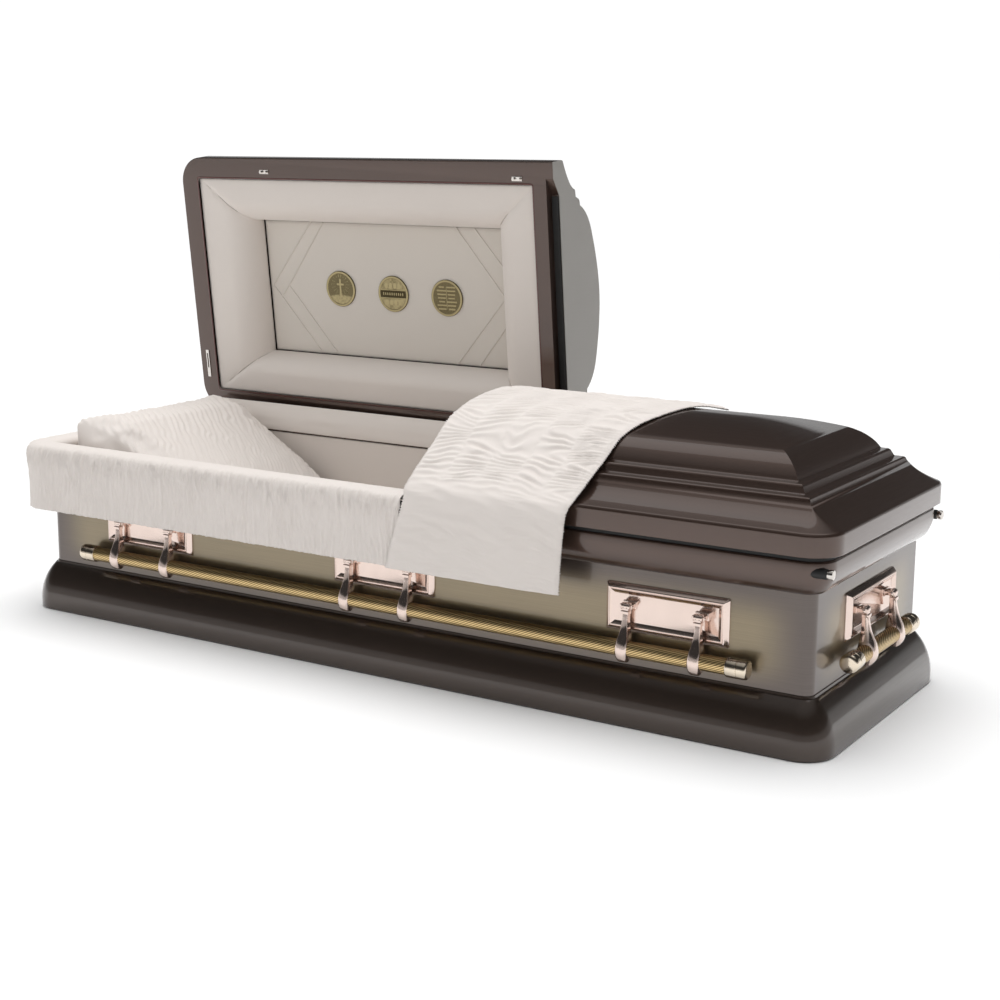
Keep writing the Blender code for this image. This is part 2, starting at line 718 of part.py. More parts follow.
def bar_mesh(half):
    """A turned bar with a larger cap on each end, along X."""
    end_half = [(0.0, half), (CAP_RADIUS - CAP_BEVEL, half), (CAP_RADIUS, half - CAP_BEVEL)]
    end_half += [(CAP_RADIUS, half - CAP_LENGTH), (BAR_RADIUS, half - CAP_LENGTH - CAP_SHOULDER)]
    profile = end_half + [(radius, -height) for radius, height in end_half[::-1]]
    mesh = bpy.data.meshes.new("bar")
    points = [(radius, 0.0, height) for radius, height in profile]
    mesh.from_pydata(points, [(index, index + 1) for index in range(len(points) - 1)], [])
    turned = add_object("turned_bar", mesh)
    screw = turned.modifiers.new("turning", "SCREW")
    screw.steps = BAR_SIDES
    screw.render_steps = BAR_SIDES
    screw.use_merge_vertices = True
    screw.merge_threshold = MERGE
    result = evaluated_mesh(turned)
    bpy.data.objects.remove(turned, do_unlink=True)
    turn = Matrix.Rotation(math.radians(90), 4, "Y")
    result.transform(Matrix.Translation((0, -BAR_OUT, -BAR_DROP)) @ turn)
    result.shade_smooth()
    result.set_sharp_from_angle(angle=math.radians(40))
    return result


def arm_mesh():
    """A bottle-shaped arm: a bored knuckle, a narrow neck and a wide foot that wraps the bar."""
    rings = []
    for height, half, front, back in ARM_LEVELS:
        slope = ARM_CORNER_SHARE * half
        ring = [(half, back), (half, front + slope), (half - slope, front)]
        ring += [(-x, y) for x, y in ring[::-1]]
        rings.append([(x, y, height) for x, y in ring])
    arm = loft("arm", rings)
    unite(arm, rod("knuckle", ARM_KNUCKLE_RADIUS, -ARM_KNUCKLE_HALF, ARM_KNUCKLE_HALF, (0.0, 0.0), 8))
    bar_bore = rod("bar_bore", BAR_BORE_RADIUS, -BORE_REACH, BORE_REACH, (-BAR_OUT, -BAR_DROP), 8)
    pin_bore = rod("pin_bore", ARM_BORE_RADIUS, -BORE_REACH, BORE_REACH, (0.0, 0.0), 6)
    cut(arm, bar_bore, pin_bore)
    mesh = arm.data
    bpy.data.objects.remove(arm, do_unlink=True)
    return mesh


def plate_mesh():
    """A framed plate on the body panel, with two lugs and a pin for each arm."""
    rings = []
    for inset, depth in PLATE_STEPS:
        x = PLATE_HALF_LENGTH - inset
        y = AXIS_OFFSET - GAP - depth
        low, high = PLATE_LOW + inset, PLATE_HIGH - inset
        rings.append([(-x, y, low), (x, y, low), (x, y, high), (-x, y, high)])
    plate = loft("plate", rings)
    tools = []
    for side in (-1, 1):
        middle = side * ARM_SPACING
        for lug_side in (-1, 1):
            near, far = (middle + lug_side * reach for reach in LUG_SPAN)
            lug_low = (min(near, far), -LUG_HALF, -LUG_HALF)
            tools.append(box("lug", lug_low, (max(near, far), LUG_BACK, LUG_HALF)))
        start, end = middle - PLATE_PIN_HALF, middle + PLATE_PIN_HALF
        tools.append(rod("pin", PLATE_PIN_RADIUS, start, end, (0.0, 0.0), 6))
    unite(plate, *tools)
    mesh = plate.data
    bpy.data.objects.remove(plate, do_unlink=True)
    return mesh


def hardware(side, centre, turn, bar, arm, plate, plate_offsets):
    """Fixed plates, and a pivot on the hinge axis that carries the bar and two arms for each plate."""
    mounting = add_empty(f"{side}_mounting", (*centre, AXIS_HEIGHT))
    mounting.rotation_euler.z = math.radians(turn)
    pivot = add_empty(f"{side}_bar_pivot", (0.0, 0.0, 0.0), mounting)
    add_object(f"bar_{side}", bar).parent = pivot
    arm_number = 0
    for number, offset in enumerate(plate_offsets, start=1):
        fixed = add_object(f"escutcheon_{side}_{number}", plate)
        fixed.parent = mounting
        fixed.location.x = offset
        for arm_side in (-1, 1):
            arm_number += 1
            swing = add_object(f"arm_{side}_{arm_number}", arm)
            swing.parent = pivot
            swing.location.x = offset + arm_side * ARM_SPACING


def make_hardware(finish):
    side_bar, end_bar = bar_mesh(SIDE_BAR_HALF), bar_mesh(END_BAR_HALF)
    arm, plate = arm_mesh(), plate_mesh()
    for mesh, material in ((side_bar, "gold"), (end_bar, "gold"), (arm, "rose"), (plate, "rose")):
        mesh.materials.clear()
        mesh.materials.append(finish[material])
    out_y = WIDTH / 2 - BODY_INSET + AXIS_OFFSET
    out_x = LENGTH / 2 - BODY_INSET + AXIS_OFFSET
    along = (-SIDE_PITCH, 0.0, SIDE_PITCH)
    hardware("front", (SIDE_CENTRE, -out_y), 0, side_bar, arm, plate, along)
    hardware("back", (SIDE_CENTRE, out_y), 180, side_bar, arm, plate, along)
    hardware("foot_end", (out_x, 0.0), 90, end_bar, arm, plate, (0.0,))
    hardware("head_end", (-out_x, 0.0), -90, end_bar, arm, plate, (0.0,))


clear_scene()
CASKET = make_collection("funeral_casket")
FINISHES = {
    "base": metal("base_paint", (0.020, 0.009, 0.006), 0.12, 0.6),
    "body": metal("body_bronze", (0.160, 0.125, 0.085), 0.35, 0.9),
    "lid": metal("lid_paint", (0.055, 0.030, 0.022), 0.15, 0.6),
    "plate": metal("end_plate_grey", (0.250, 0.235, 0.215), 0.50, 0.3),
    "rose": metal("rose_gold", (0.700, 0.500, 0.400), 0.15, 1.0),
    "gold": metal("bar_gold", (0.650, 0.450, 0.180), 0.30, 1.0),
    "chrome": metal("chrome", (0.700, 0.650, 0.600), 0.10, 1.0),
    "brass": metal("antique_brass", (0.200, 0.150, 0.060), 0.35, 1.0),
    "rubber": metal("black_rubber", (0.010, 0.010, 0.010), 0.70, 0.0),
    "cloth": metal("cream_cloth", (0.750, 0.680, 0.620), 0.90, 0.0),
}
make_body(FINISHES)
hinge_rail(FINISHES["lid"])
make_lids(FINISHES)
make_interior(FINISHES)
make_hardware(FINISHES)
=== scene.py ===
"""Dressed model of a funeral casket: painted metal, swing-bar hardware and a padded cloth interior.

Metres, +Z up, X along the length with the foot end at +X, the lid hinges along +Y.
An inset is a distance inwards from the plan's outer rectangle.
"""
import math

import bmesh
import bpy
import numpy as np
from mathutils import Matrix, Vector


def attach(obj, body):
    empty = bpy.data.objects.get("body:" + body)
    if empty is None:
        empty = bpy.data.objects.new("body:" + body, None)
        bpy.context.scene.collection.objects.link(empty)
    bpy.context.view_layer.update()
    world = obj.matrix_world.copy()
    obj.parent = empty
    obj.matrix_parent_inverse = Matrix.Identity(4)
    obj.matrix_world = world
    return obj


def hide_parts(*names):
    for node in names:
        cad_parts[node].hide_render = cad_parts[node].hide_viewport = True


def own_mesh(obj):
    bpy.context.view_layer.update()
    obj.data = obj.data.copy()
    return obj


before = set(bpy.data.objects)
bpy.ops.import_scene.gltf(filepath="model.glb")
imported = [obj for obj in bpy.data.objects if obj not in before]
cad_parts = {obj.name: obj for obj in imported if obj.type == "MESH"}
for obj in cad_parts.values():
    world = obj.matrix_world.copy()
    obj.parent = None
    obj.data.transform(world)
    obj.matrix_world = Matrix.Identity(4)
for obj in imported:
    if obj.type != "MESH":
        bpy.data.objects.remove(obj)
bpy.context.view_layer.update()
SCENE = bpy.context.scene

# Sizes shared with the part's source
LENGTH = 2.10
WIDTH = 0.685
CORNER_RADIUS = 0.068
SHEET = 0.0015
GAP = 0.0003
HINGE = Vector((0.0, 0.3506, 0.4156))
OPEN_ANGLE = 83.5
LID_BOTTOM = 0.398
LID_CROWN = 0.5965
HEAD_SHELL_END = 0.1007
HEAD_PLATE = (0.1010, 0.1025)
FOOT_PLATE = (0.1055, 0.1070)
FOOT_SHELL_START = 0.1073
ROLL_RIM = (-0.9935, 0.0450, -0.2875, 0.2875)
ROLL_PANEL = (-0.848, -0.086, -0.171, 0.186)
PANEL_FRONT = 0.4795
MEDALLION_CENTRES = ((-0.607, 0.005), (-0.438, 0.010), (-0.272, 0.012))
AXIS_HEIGHT = 0.245
AXIS_OFFSET = 0.0225
BAR_OUT = 0.0075
BAR_DROP = 0.085
ARM_SPACING = 0.079
SIDE_CENTRE = 0.010
SIDE_PITCH = 0.689
BODY_INSET = 0.0458

TO_OPEN = Matrix.Translation(HINGE) @ Matrix.Rotation(math.radians(-OPEN_ANGLE), 4, "X") @ Matrix.Translation(-HINGE)


# Shader tools


def node(tree, kind, inputs=None, **settings):
    """Add a node, set its options, and give each named input a value or a link."""
    made = tree.nodes.new(kind)
    for key, value in settings.items():
        setattr(made, key, value)
    for key, value in (inputs or {}).items():
        socket = made.inputs[key]
        if isinstance(value, bpy.types.NodeSocket):
            tree.links.new(value, socket)
        else:
            socket.default_value = value
    return made


def arithmetic(tree, operation, a, b=0.0, c=0.0):
    return node(tree, "ShaderNodeMath", {0: a, 1: b, 2: c}, operation=operation).outputs[0]


def rgb(colour):
    return (*colour, 1.0)


def mixed(tree, factor, first, second):
    """The second colour over the first, by the factor."""
    mix = node(tree, "ShaderNodeMix", data_type="RGBA")
    for index, value in ((0, factor), (6, first), (7, second)):
        if isinstance(value, bpy.types.NodeSocket):
            tree.links.new(value, mix.inputs[index])
        else:
            mix.inputs[index].default_value = value
    return mix.outputs[2]


def group(name, inputs, outputs):
    """A shader node group with its named sockets. Inputs are name, kind and value."""
    tree = bpy.data.node_groups.new(name, "ShaderNodeTree")
    for label, kind, value in inputs:
        socket = tree.interface.new_socket(label, in_out="INPUT", socket_type="NodeSocket" + kind)
        socket.default_value = value
    for label, kind in outputs:
        tree.interface.new_socket(label, in_out="OUTPUT", socket_type="NodeSocket" + kind)
    return tree, tree.nodes.new("NodeGroupInput"), tree.nodes.new("NodeGroupOutput")


def placed(tree, kept, inputs):
    """Place a shader group in a material, with its own values."""
    made = tree.nodes.new("ShaderNodeGroup")
    made.node_tree = kept
    for key, value in inputs.items():
        if isinstance(value, bpy.types.NodeSocket):
            tree.links.new(value, made.inputs[key])
        else:
            made.inputs[key].default_value = value
    return made


def position(tree):
    return node(tree, "ShaderNodeTexCoord").outputs["Object"]


def stretched(tree, coordinates, scale):
    return node(tree, "ShaderNodeMapping", {"Vector": coordinates, "Scale": scale}).outputs[0]


def patina_group():
    """Slow drifts of tone over a surface: a lighter or darker cast of one colour."""
    tree, start, end = group(
        "tone_drift",
        [("Colour", "Color", (0.5, 0.5, 0.5, 1.0)), ("Scale", "Float", 4.0), ("Amount", "Float", 0.1)],
        [("Colour", "Color"), ("Mask", "Float")])
    cloud = node(tree, "ShaderNodeTexNoise", {
        "Vector": position(tree), "Scale": start.outputs["Scale"], "Detail": 4.0, "Roughness": 0.55})
    centred = arithmetic(tree, "SUBTRACT", cloud.outputs["Fac"], 0.5)
    swing = arithmetic(tree, "MULTIPLY_ADD", centred, start.outputs["Amount"], 1.0)
    shade = node(tree, "ShaderNodeVectorMath", {0: start.outputs["Colour"], "Scale": swing}, operation="SCALE")
    tree.links.new(shade.outputs[0], end.inputs["Colour"])
    tree.links.new(cloud.outputs["Fac"], end.inputs["Mask"])
    return tree


def brushed_group():
    """Fine scratches that run level around the casket."""
    tree, start, end = group(
        "brushed_lines",
        [("Spread", "Vector", (3.0, 3.0, 700.0)), ("Base roughness", "Float", 0.3), ("Swing", "Float", 0.1)],
        [("Height", "Float"), ("Roughness", "Float")])
    spread = node(tree, "ShaderNodeVectorMath", {0: position(tree), 1: start.outputs["Spread"]}, operation="MULTIPLY")
    lines = node(tree, "ShaderNodeTexNoise", {
        "Vector": spread.outputs[0], "Scale": 1.0, "Detail": 3.0, "Roughness": 0.7})
    swing = arithmetic(tree, "SUBTRACT", lines.outputs["Fac"], 0.5)
    rough = arithmetic(tree, "MULTIPLY_ADD", swing, start.outputs["Swing"], start.outputs["Base roughness"])
    tree.links.new(lines.outputs["Fac"], end.inputs["Height"])
    tree.links.new(rough, end.inputs["Roughness"])
    return tree


def weave_group():
    """The dull, slightly pebbled face of a crepe or velvet cloth."""
    tree, start, end = group(
        "cloth_face",
        [("Colour", "Color", (0.8, 0.8, 0.8, 1.0)), ("Thread scale", "Float", 900.0), ("Mottle", "Float", 0.06)],
        [("Colour", "Color"), ("Height", "Float")])
    where = position(tree)
    threads = node(tree, "ShaderNodeTexNoise", {
        "Vector": where, "Scale": start.outputs["Thread scale"], "Detail": 2.0, "Roughness": 0.6})
    bands = node(tree, "ShaderNodeTexNoise", {"Vector": where, "Scale": 14.0, "Detail": 3.0, "Roughness": 0.6})
    both = arithmetic(tree, "MULTIPLY_ADD", bands.outputs["Fac"], 0.6, threads.outputs["Fac"])
    centred = arithmetic(tree, "SUBTRACT", both, 0.8)
    swing = arithmetic(tree, "MULTIPLY_ADD", centred, start.outputs["Mottle"], 1.0)
    shade = node(tree, "ShaderNodeVectorMath", {0: start.outputs["Colour"], "Scale": swing}, operation="SCALE")
    tree.links.new(shade.outputs[0], end.inputs["Colour"])
    tree.links.new(both, end.inputs["Height"])
    return tree


TONE_DRIFT = patina_group()
BRUSHED_LINES = brushed_group()
CLOTH_FACE = weave_group()


def new_material(name):
    material = bpy.data.materials.new(name)
    material.use_nodes = True
    return material, material.node_tree, material.node_tree.nodes["Principled BSDF"]


def set_inputs(shader, **values):
    for key, value in values.items():
        shader.inputs[key.replace("_", " ")].default_value = value


def gloss_paint(name, colour, roughness, metallic=0.75, drift=0.25, coat=1.0):
    """Baked enamel over brushed steel, under a clear coat."""
    material, tree, shader = new_material(name)
    tone = placed(tree, TONE_DRIFT, {"Colour": rgb(colour), "Scale": 2.2, "Amount": drift})
    lines = placed(tree, BRUSHED_LINES, {
        "Spread": (9.0, 9.0, 420.0), "Base roughness": roughness, "Swing": 0.12})
    bump = node(tree, "ShaderNodeBump", {"Height": lines.outputs["Height"], "Strength": 0.05, "Distance": 0.0004})
    tree.links.new(tone.outputs["Colour"], shader.inputs["Base Color"])
    tree.links.new(lines.outputs["Roughness"], shader.inputs["Roughness"])
    tree.links.new(bump.outputs[0], shader.inputs["Normal"])
    set_inputs(shader, Metallic=metallic, Coat_Weight=coat, Coat_Roughness=0.03, Coat_IOR=1.5)
    return material


def bronze_panels():
    """Brushed bronze, golden in the middle of each panel and shaded dark towards its edges."""
    material, tree, shader = new_material("body_bronze")
    where = position(tree)
    axes = node(tree, "ShaderNodeSeparateXYZ", {0: where})
    rise = arithmetic(tree, "ABSOLUTE", arithmetic(tree, "SUBTRACT", axes.outputs[2], 0.212))
    middle = node(tree, "ShaderNodeMapRange", {
        "Value": rise, "From Min": 0.025, "From Max": 0.105, "To Min": 1.0, "To Max": 0.0},
        interpolation_type="SMOOTHSTEP")
    reach = arithmetic(tree, "ADD", arithmetic(tree, "ABSOLUTE", axes.outputs[0]),
                       arithmetic(tree, "ABSOLUTE", axes.outputs[1]))
    along = node(tree, "ShaderNodeMapRange", {
        "Value": reach, "From Min": 1.17, "From Max": 1.285, "To Min": 1.0, "To Max": 0.0},
        interpolation_type="SMOOTHSTEP")
    gold = arithmetic(tree, "MULTIPLY", middle.outputs[0], along.outputs[0])
    colour = mixed(tree, gold, rgb((0.125, 0.103, 0.093)), rgb((0.265, 0.215, 0.140)))
    tone = placed(tree, TONE_DRIFT, {"Colour": colour, "Scale": 3.0, "Amount": 0.25})
    lines = placed(tree, BRUSHED_LINES, {
        "Spread": (5.0, 5.0, 900.0), "Base roughness": 0.34, "Swing": 0.30})
    streak = arithmetic(tree, "MULTIPLY_ADD", arithmetic(tree, "SUBTRACT", lines.outputs["Height"], 0.5), 0.45, 1.0)
    shade = node(tree, "ShaderNodeVectorMath", {0: tone.outputs["Colour"], "Scale": streak}, operation="SCALE")
    bump = node(tree, "ShaderNodeBump", {"Height": lines.outputs["Height"], "Strength": 0.25, "Distance": 0.0004})
    tree.links.new(shade.outputs[0], shader.inputs["Base Color"])
    tree.links.new(lines.outputs["Roughness"], shader.inputs["Roughness"])
    tree.links.new(bump.outputs[0], shader.inputs["Normal"])
    set_inputs(shader, Metallic=0.9, Coat_Weight=0.7, Coat_Roughness=0.06)
    return material


def plated_metal(name, colour, roughness, speckle=0.0, speckle_scale=500.0, metallic=1.0):
    """Plated zinc castings and pressings, plain or finely speckled."""
    material, tree, shader = new_material(name)
    tone = placed(tree, TONE_DRIFT, {"Colour": rgb(colour), "Scale": 30.0, "Amount": 0.12})
    grains = node(tree, "ShaderNodeTexNoise", {"Vector": position(tree), "Scale": speckle_scale, "Detail": 3.0})
    rough = arithmetic(tree, "MULTIPLY_ADD", grains.outputs["Fac"], 0.1 + speckle * 0.2, roughness - 0.05)
    bump = node(tree, "ShaderNodeBump", {
        "Height": grains.outputs["Fac"], "Strength": 0.08 + speckle, "Distance": 0.0005})
    tree.links.new(tone.outputs["Colour"], shader.inputs["Base Color"])
    tree.links.new(rough, shader.inputs["Roughness"])
    tree.links.new(bump.outputs[0], shader.inputs["Normal"])
    set_inputs(shader, Metallic=metallic)
    return material


def rope_turned_gold():
    """Gold tube with fine spiral lines: the lines follow the angle around the bar and the length along it."""
    material, tree, shader = new_material("bar_gold")
    spiral = node(tree, "ShaderNodeAttribute", attribute_name="spiral")
    wave = arithmetic(tree, "SINE", spiral.outputs["Fac"])
    crest = arithmetic(tree, "MULTIPLY_ADD", wave, 0.5, 0.5)
    colour = mixed(tree, crest, rgb((0.30, 0.19, 0.075)), rgb((0.86, 0.66, 0.34)))
    tone = placed(tree, TONE_DRIFT, {"Colour": colour, "Scale": 20.0, "Amount": 0.15})
    bump = node(tree, "ShaderNodeBump", {"Height": crest, "Strength": 0.7, "Distance": 0.0006})
    tree.links.new(tone.outputs["Colour"], shader.inputs["Base Color"])
    tree.links.new(bump.outputs[0], shader.inputs["Normal"])
    set_inputs(shader, Metallic=1.0, Roughness=0.30)
    return material


def antique_brass():
    """Brass with a dark stain in its low places, which the relief stores as an attribute."""
    material, tree, shader = new_material("antique_brass")
    relief = node(tree, "ShaderNodeAttribute", attribute_name="relief")
    grains = node(tree, "ShaderNodeTexNoise", {"Vector": position(tree), "Scale": 900.0, "Detail": 3.0})
    level = arithmetic(tree, "MULTIPLY_ADD", grains.outputs["Fac"], 0.5, relief.outputs["Fac"])
    bright = node(tree, "ShaderNodeMapRange", {
        "Value": level, "From Min": 0.25, "From Max": 0.95, "To Min": 0.0, "To Max": 1.0},
        interpolation_type="SMOOTHSTEP")
    colour = mixed(tree, bright.outputs[0], rgb((0.055, 0.042, 0.020)), rgb((0.42, 0.35, 0.19)))
    bump = node(tree, "ShaderNodeBump", {"Height": grains.outputs["Fac"], "Strength": 0.25, "Distance": 0.0004})
    tree.links.new(colour, shader.inputs["Base Color"])
    tree.links.new(bump.outputs[0], shader.inputs["Normal"])
    set_inputs(shader, Metallic=0.9, Roughness=0.38)
    return material


def rubber():
    material, tree, shader = new_material("black_rubber")
    tone = placed(tree, TONE_DRIFT, {"Colour": rgb((0.012, 0.012, 0.012)), "Scale": 40.0, "Amount": 0.6})
    grains = node(tree, "ShaderNodeTexNoise", {"Vector": position(tree), "Scale": 700.0, "Detail": 2.0})
    bump = node(tree, "ShaderNodeBump", {"Height": grains.outputs["Fac"], "Strength": 0.2, "Distance": 0.0003})
    tree.links.new(tone.outputs["Colour"], shader.inputs["Base Color"])
    tree.links.new(bump.outputs[0], shader.inputs["Normal"])
    set_inputs(shader, Roughness=0.6)
    return material


def cloth(name, colour, thread_scale, mottle, bump_strength, sheen):
    material, tree, shader = new_material(name)
    face = placed(tree, CLOTH_FACE, {"Colour": rgb(colour), "Thread scale": thread_scale, "Mottle": mottle})
    bump = node(tree, "ShaderNodeBump", {
        "Height": face.outputs["Height"], "Strength": bump_strength, "Distance": 0.0008})
    tree.links.new(face.outputs["Colour"], shader.inputs["Base Color"])
    tree.links.new(bump.outputs[0], shader.inputs["Normal"])
    set_inputs(shader, Roughness=0.85, Sheen_Weight=sheen, Sheen_Roughness=0.45, Specular_IOR_Level=0.25)
    return material


BASE_PAINT = gloss_paint("base_paint", (0.058, 0.040, 0.031), 0.38)
LID_PAINT = gloss_paint("lid_paint", (0.085, 0.052, 0.040), 0.36)
# The bead's red-brown is the lid's brown paint with a painted red reflection mixed into its colour.
BEAD_PAINT_AND_REFLECTION = gloss_paint("bead_paint_and_reflection", (0.090, 0.022, 0.016), 0.35, metallic=0.3)
BRONZE = bronze_panels()
PLATE_GREY = gloss_paint("plate_grey", (0.300, 0.285, 0.265), 0.45, metallic=0.55, drift=0.15, coat=0.3)
ROSE_GOLD = plated_metal("rose_gold", (0.78, 0.64, 0.575), 0.14)
ROSE_SPECKLED = plated_metal("rose_gold_speckled", (0.70, 0.565, 0.50), 0.34, speckle=0.5, speckle_scale=650.0)
CHAMPAGNE = plated_metal("champagne_chrome", (0.78, 0.68, 0.55), 0.12)
CHROME = plated_metal("chrome", (0.70, 0.66, 0.62), 0.12)
BAR_GOLD = rope_turned_gold()
BRASS = antique_brass()
RUBBER = rubber()
CREPE = cloth("crepe_cloth", (0.77, 0.715, 0.675), 1100.0, 0.05, 0.25, 0.15)
LINING = cloth("lining_cloth", (0.76, 0.700, 0.650), 1400.0, 0.03, 0.10, 0.25)
PANEL_CLOTH = cloth("panel_cloth", (0.70, 0.650, 0.590), 1600.0, 0.03, 0.08, 0.25)


# Shape tools


def finish_piece(obj, body, slot, *replaced):
    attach(obj, body)
    if replaced:
        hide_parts(*replaced)
    return obj


def link(name, mesh, *materials):
    obj = bpy.data.objects.new(name, mesh)
    SCENE.collection.objects.link(obj)
    mesh.materials.clear()
    for material in materials:
        mesh.materials.append(material)
    return obj


def smooth(mesh, angle=35.0):
    mesh.shade_smooth()
    mesh.set_sharp_from_angle(angle=math.radians(angle))


def mesh_from(shape, name):
    bmesh.ops.recalc_face_normals(shape, faces=shape.faces)
    mesh = bpy.data.meshes.new(name)
    shape.to_mesh(mesh)
    shape.free()
    return mesh


def evaluated(obj):
    bpy.context.view_layer.update()
    return bpy.data.meshes.new_from_object(obj.evaluated_get(bpy.context.evaluated_depsgraph_get()))


def applied(obj):
    """Apply the piece's modifiers to its mesh."""
    mesh = evaluated(obj)
    obj.modifiers.clear()
    obj.data = mesh
    return obj


def loft_mesh(name, rings, closed=False, caps=True):
    """Join rings of equally many points into a skin. A closed loft's last ring joins its first."""
    shape = bmesh.new()
    loops = [[shape.verts.new(point) for point in ring] for ring in rings]
    count = len(rings[0])
    pairs = list(zip(loops, loops[1:]))
    if closed:
        pairs.append((loops[-1], loops[0]))
    for lower, upper in pairs:
        for index in range(count):
            after = (index + 1) % count
            shape.faces.new((lower[index], lower[after], upper[after], upper[index]))
    if caps and not closed:
        shape.faces.new(loops[0])
        shape.faces.new(loops[-1])
    bmesh.ops.remove_doubles(shape, verts=shape.verts, dist=0.00002)
    return mesh_from(shape, name)


def plan_ring(inset, height, steps=12):
    """The plan's rounded rectangle, inset and raised. Its corners are sharp past the corner radius."""
    radius = max(CORNER_RADIUS - inset, 0.0)
    reach_x = LENGTH / 2 - inset - radius
    reach_y = WIDTH / 2 - inset - radius
    points = []
    for quarter, (side_x, side_y) in enumerate(((1, 1), (-1, 1), (-1, -1), (1, -1))):
        for step in range(steps + 1):
            angle = math.radians(90 * (quarter + step / steps))
            points.append((side_x * reach_x + radius * math.cos(angle),
                           side_y * reach_y + radius * math.sin(angle), height))
    return points


def bezier(start, handle_a, handle_b, end, steps):
    points = []
    for step in range(1, steps + 1):
        t = step / steps
        weights = ((1 - t) ** 3, 3 * (1 - t) ** 2 * t, 3 * (1 - t) * t ** 2, t ** 3)
        corners = (start, handle_a, handle_b, end)
        points.append(tuple(sum(w * corner[axis] for w, corner in zip(weights, corners)) for axis in (0, 1)))
    return points


def eased(points, radius, steps=3, least_turn=14.0):
    """The same line with each clear corner rounded off."""
    line = [points[0]]
    for before, here, after in zip(points, points[1:], points[2:]):
        a, p, b = Vector(before), Vector(here), Vector(after)
        into, out = p - a, b - p
        if into.length < 1e-6 or out.length < 1e-6 or math.degrees(into.angle(out)) < least_turn:
            line.append(here)
            continue
        back = min(radius, 0.45 * into.length)
        on = min(radius, 0.45 * out.length)
        first, last = p - into.normalized() * back, p + out.normalized() * on
        for step in range(steps + 1):
            t = step / steps
            line.append(tuple((1 - t) ** 2 * first + 2 * t * (1 - t) * p + t ** 2 * last))
    line.append(points[-1])
    return line


def offset_line(points, distance):
    """The same line moved to the right of its direction, with mitred corners."""
    moved = []
    for index, (x, y) in enumerate(points):
        before = points[max(index - 1, 0)]
        after = points[min(index + 1, len(points) - 1)]
        normals = []
        for (x0, y0), (x1, y1) in ((before, (x, y)), ((x, y), after)):
            length = math.hypot(x1 - x0, y1 - y0)
            if length > 0:
                normals.append(((y1 - y0) / length, -(x1 - x0) / length))
        first, last = normals[0], normals[-1]
        scale = distance / (1 + first[0] * last[0] + first[1] * last[1])
        moved.append((x + scale * (first[0] + last[0]), y + scale * (first[1] + last[1])))
    return moved


def moulding_mesh(name, profile, angle=35.0):
    mesh = loft_mesh(name, [plan_ring(inset, height) for inset, height in profile], closed=True)
    smooth(mesh, angle)
    return mesh


def box_mesh(name, low, high, bevel=0.0, segments=2):
    shape = bmesh.new()
    bmesh.ops.create_cube(shape, size=1.0)
    for vertex in shape.verts:
        for axis in range(3):
            vertex.co[axis] = low[axis] + (vertex.co[axis] + 0.5) * (high[axis] - low[axis])
    if bevel:
        bmesh.ops.bevel(shape, geom=shape.edges[:], offset=bevel, segments=segments, profile=0.5, affect="EDGES")
    mesh = mesh_from(shape, name)
    smooth(mesh, 40.0)
    return mesh


def prism_mesh(name, outline, start, end, axis="X"):
    """A flat outline with a thickness: (y, z) points along X, or (x, z) points along Y."""
    shape = bmesh.new()
    rings = []
    for where in (start, end):
        if axis == "X":
            rings.append([shape.verts.new((where, u, v)) for u, v in outline])
        else:
            rings.append([shape.verts.new((u, where, v)) for u, v in outline])
    count = len(outline)
    for index in range(count):
        after = (index + 1) % count
        shape.faces.new((rings[0][index], rings[0][after], rings[1][after], rings[1][index]))
    for ring in rings:
        shape.faces.new(ring)
    return mesh_from(shape, name)


def turned_mesh(name, profile, steps=48):
    """A profile of (radius, distance) points turned about X. It starts and ends on the axis."""
    rings = []
    for radius, along in profile:
        ring = []
        for step in range(steps):
            angle = 2 * math.pi * step / steps
            ring.append((along, max(radius, 0.00003) * math.cos(angle), max(radius, 0.00003) * math.sin(angle)))
        rings.append(ring)
    mesh = loft_mesh(name, rings)
    smooth(mesh, 40.0)
    return mesh


def joined(name, meshes):
    """One mesh out of several, with their material slots kept by index."""
    shape = bmesh.new()
    for mesh in meshes:
        shape.from_mesh(mesh)
    result = bpy.data.meshes.new(name)
    shape.to_mesh(result)
    shape.free()
    return result


def with_index(mesh, index):
    for polygon in mesh.polygons:
        polygon.material_index = index
    return mesh


def cut(obj, *tools):
    """Cut each tool mesh out of the piece."""
    cutters = []
    for number, tool in enumerate(tools):
        cutter = bpy.data.objects.new(f"cutter_{number}", tool)
        SCENE.collection.objects.link(cutter)
        modifier = obj.modifiers.new("cut", "BOOLEAN")
        modifier.operation = "DIFFERENCE"
        modifier.object = cutter
        cutters.append(cutter)
    applied(obj)
    for cutter in cutters:
        bpy.data.objects.remove(cutter, do_unlink=True)
    smooth(obj.data, 30.0)
    return obj


# Paths and repeats by Geometry Nodes


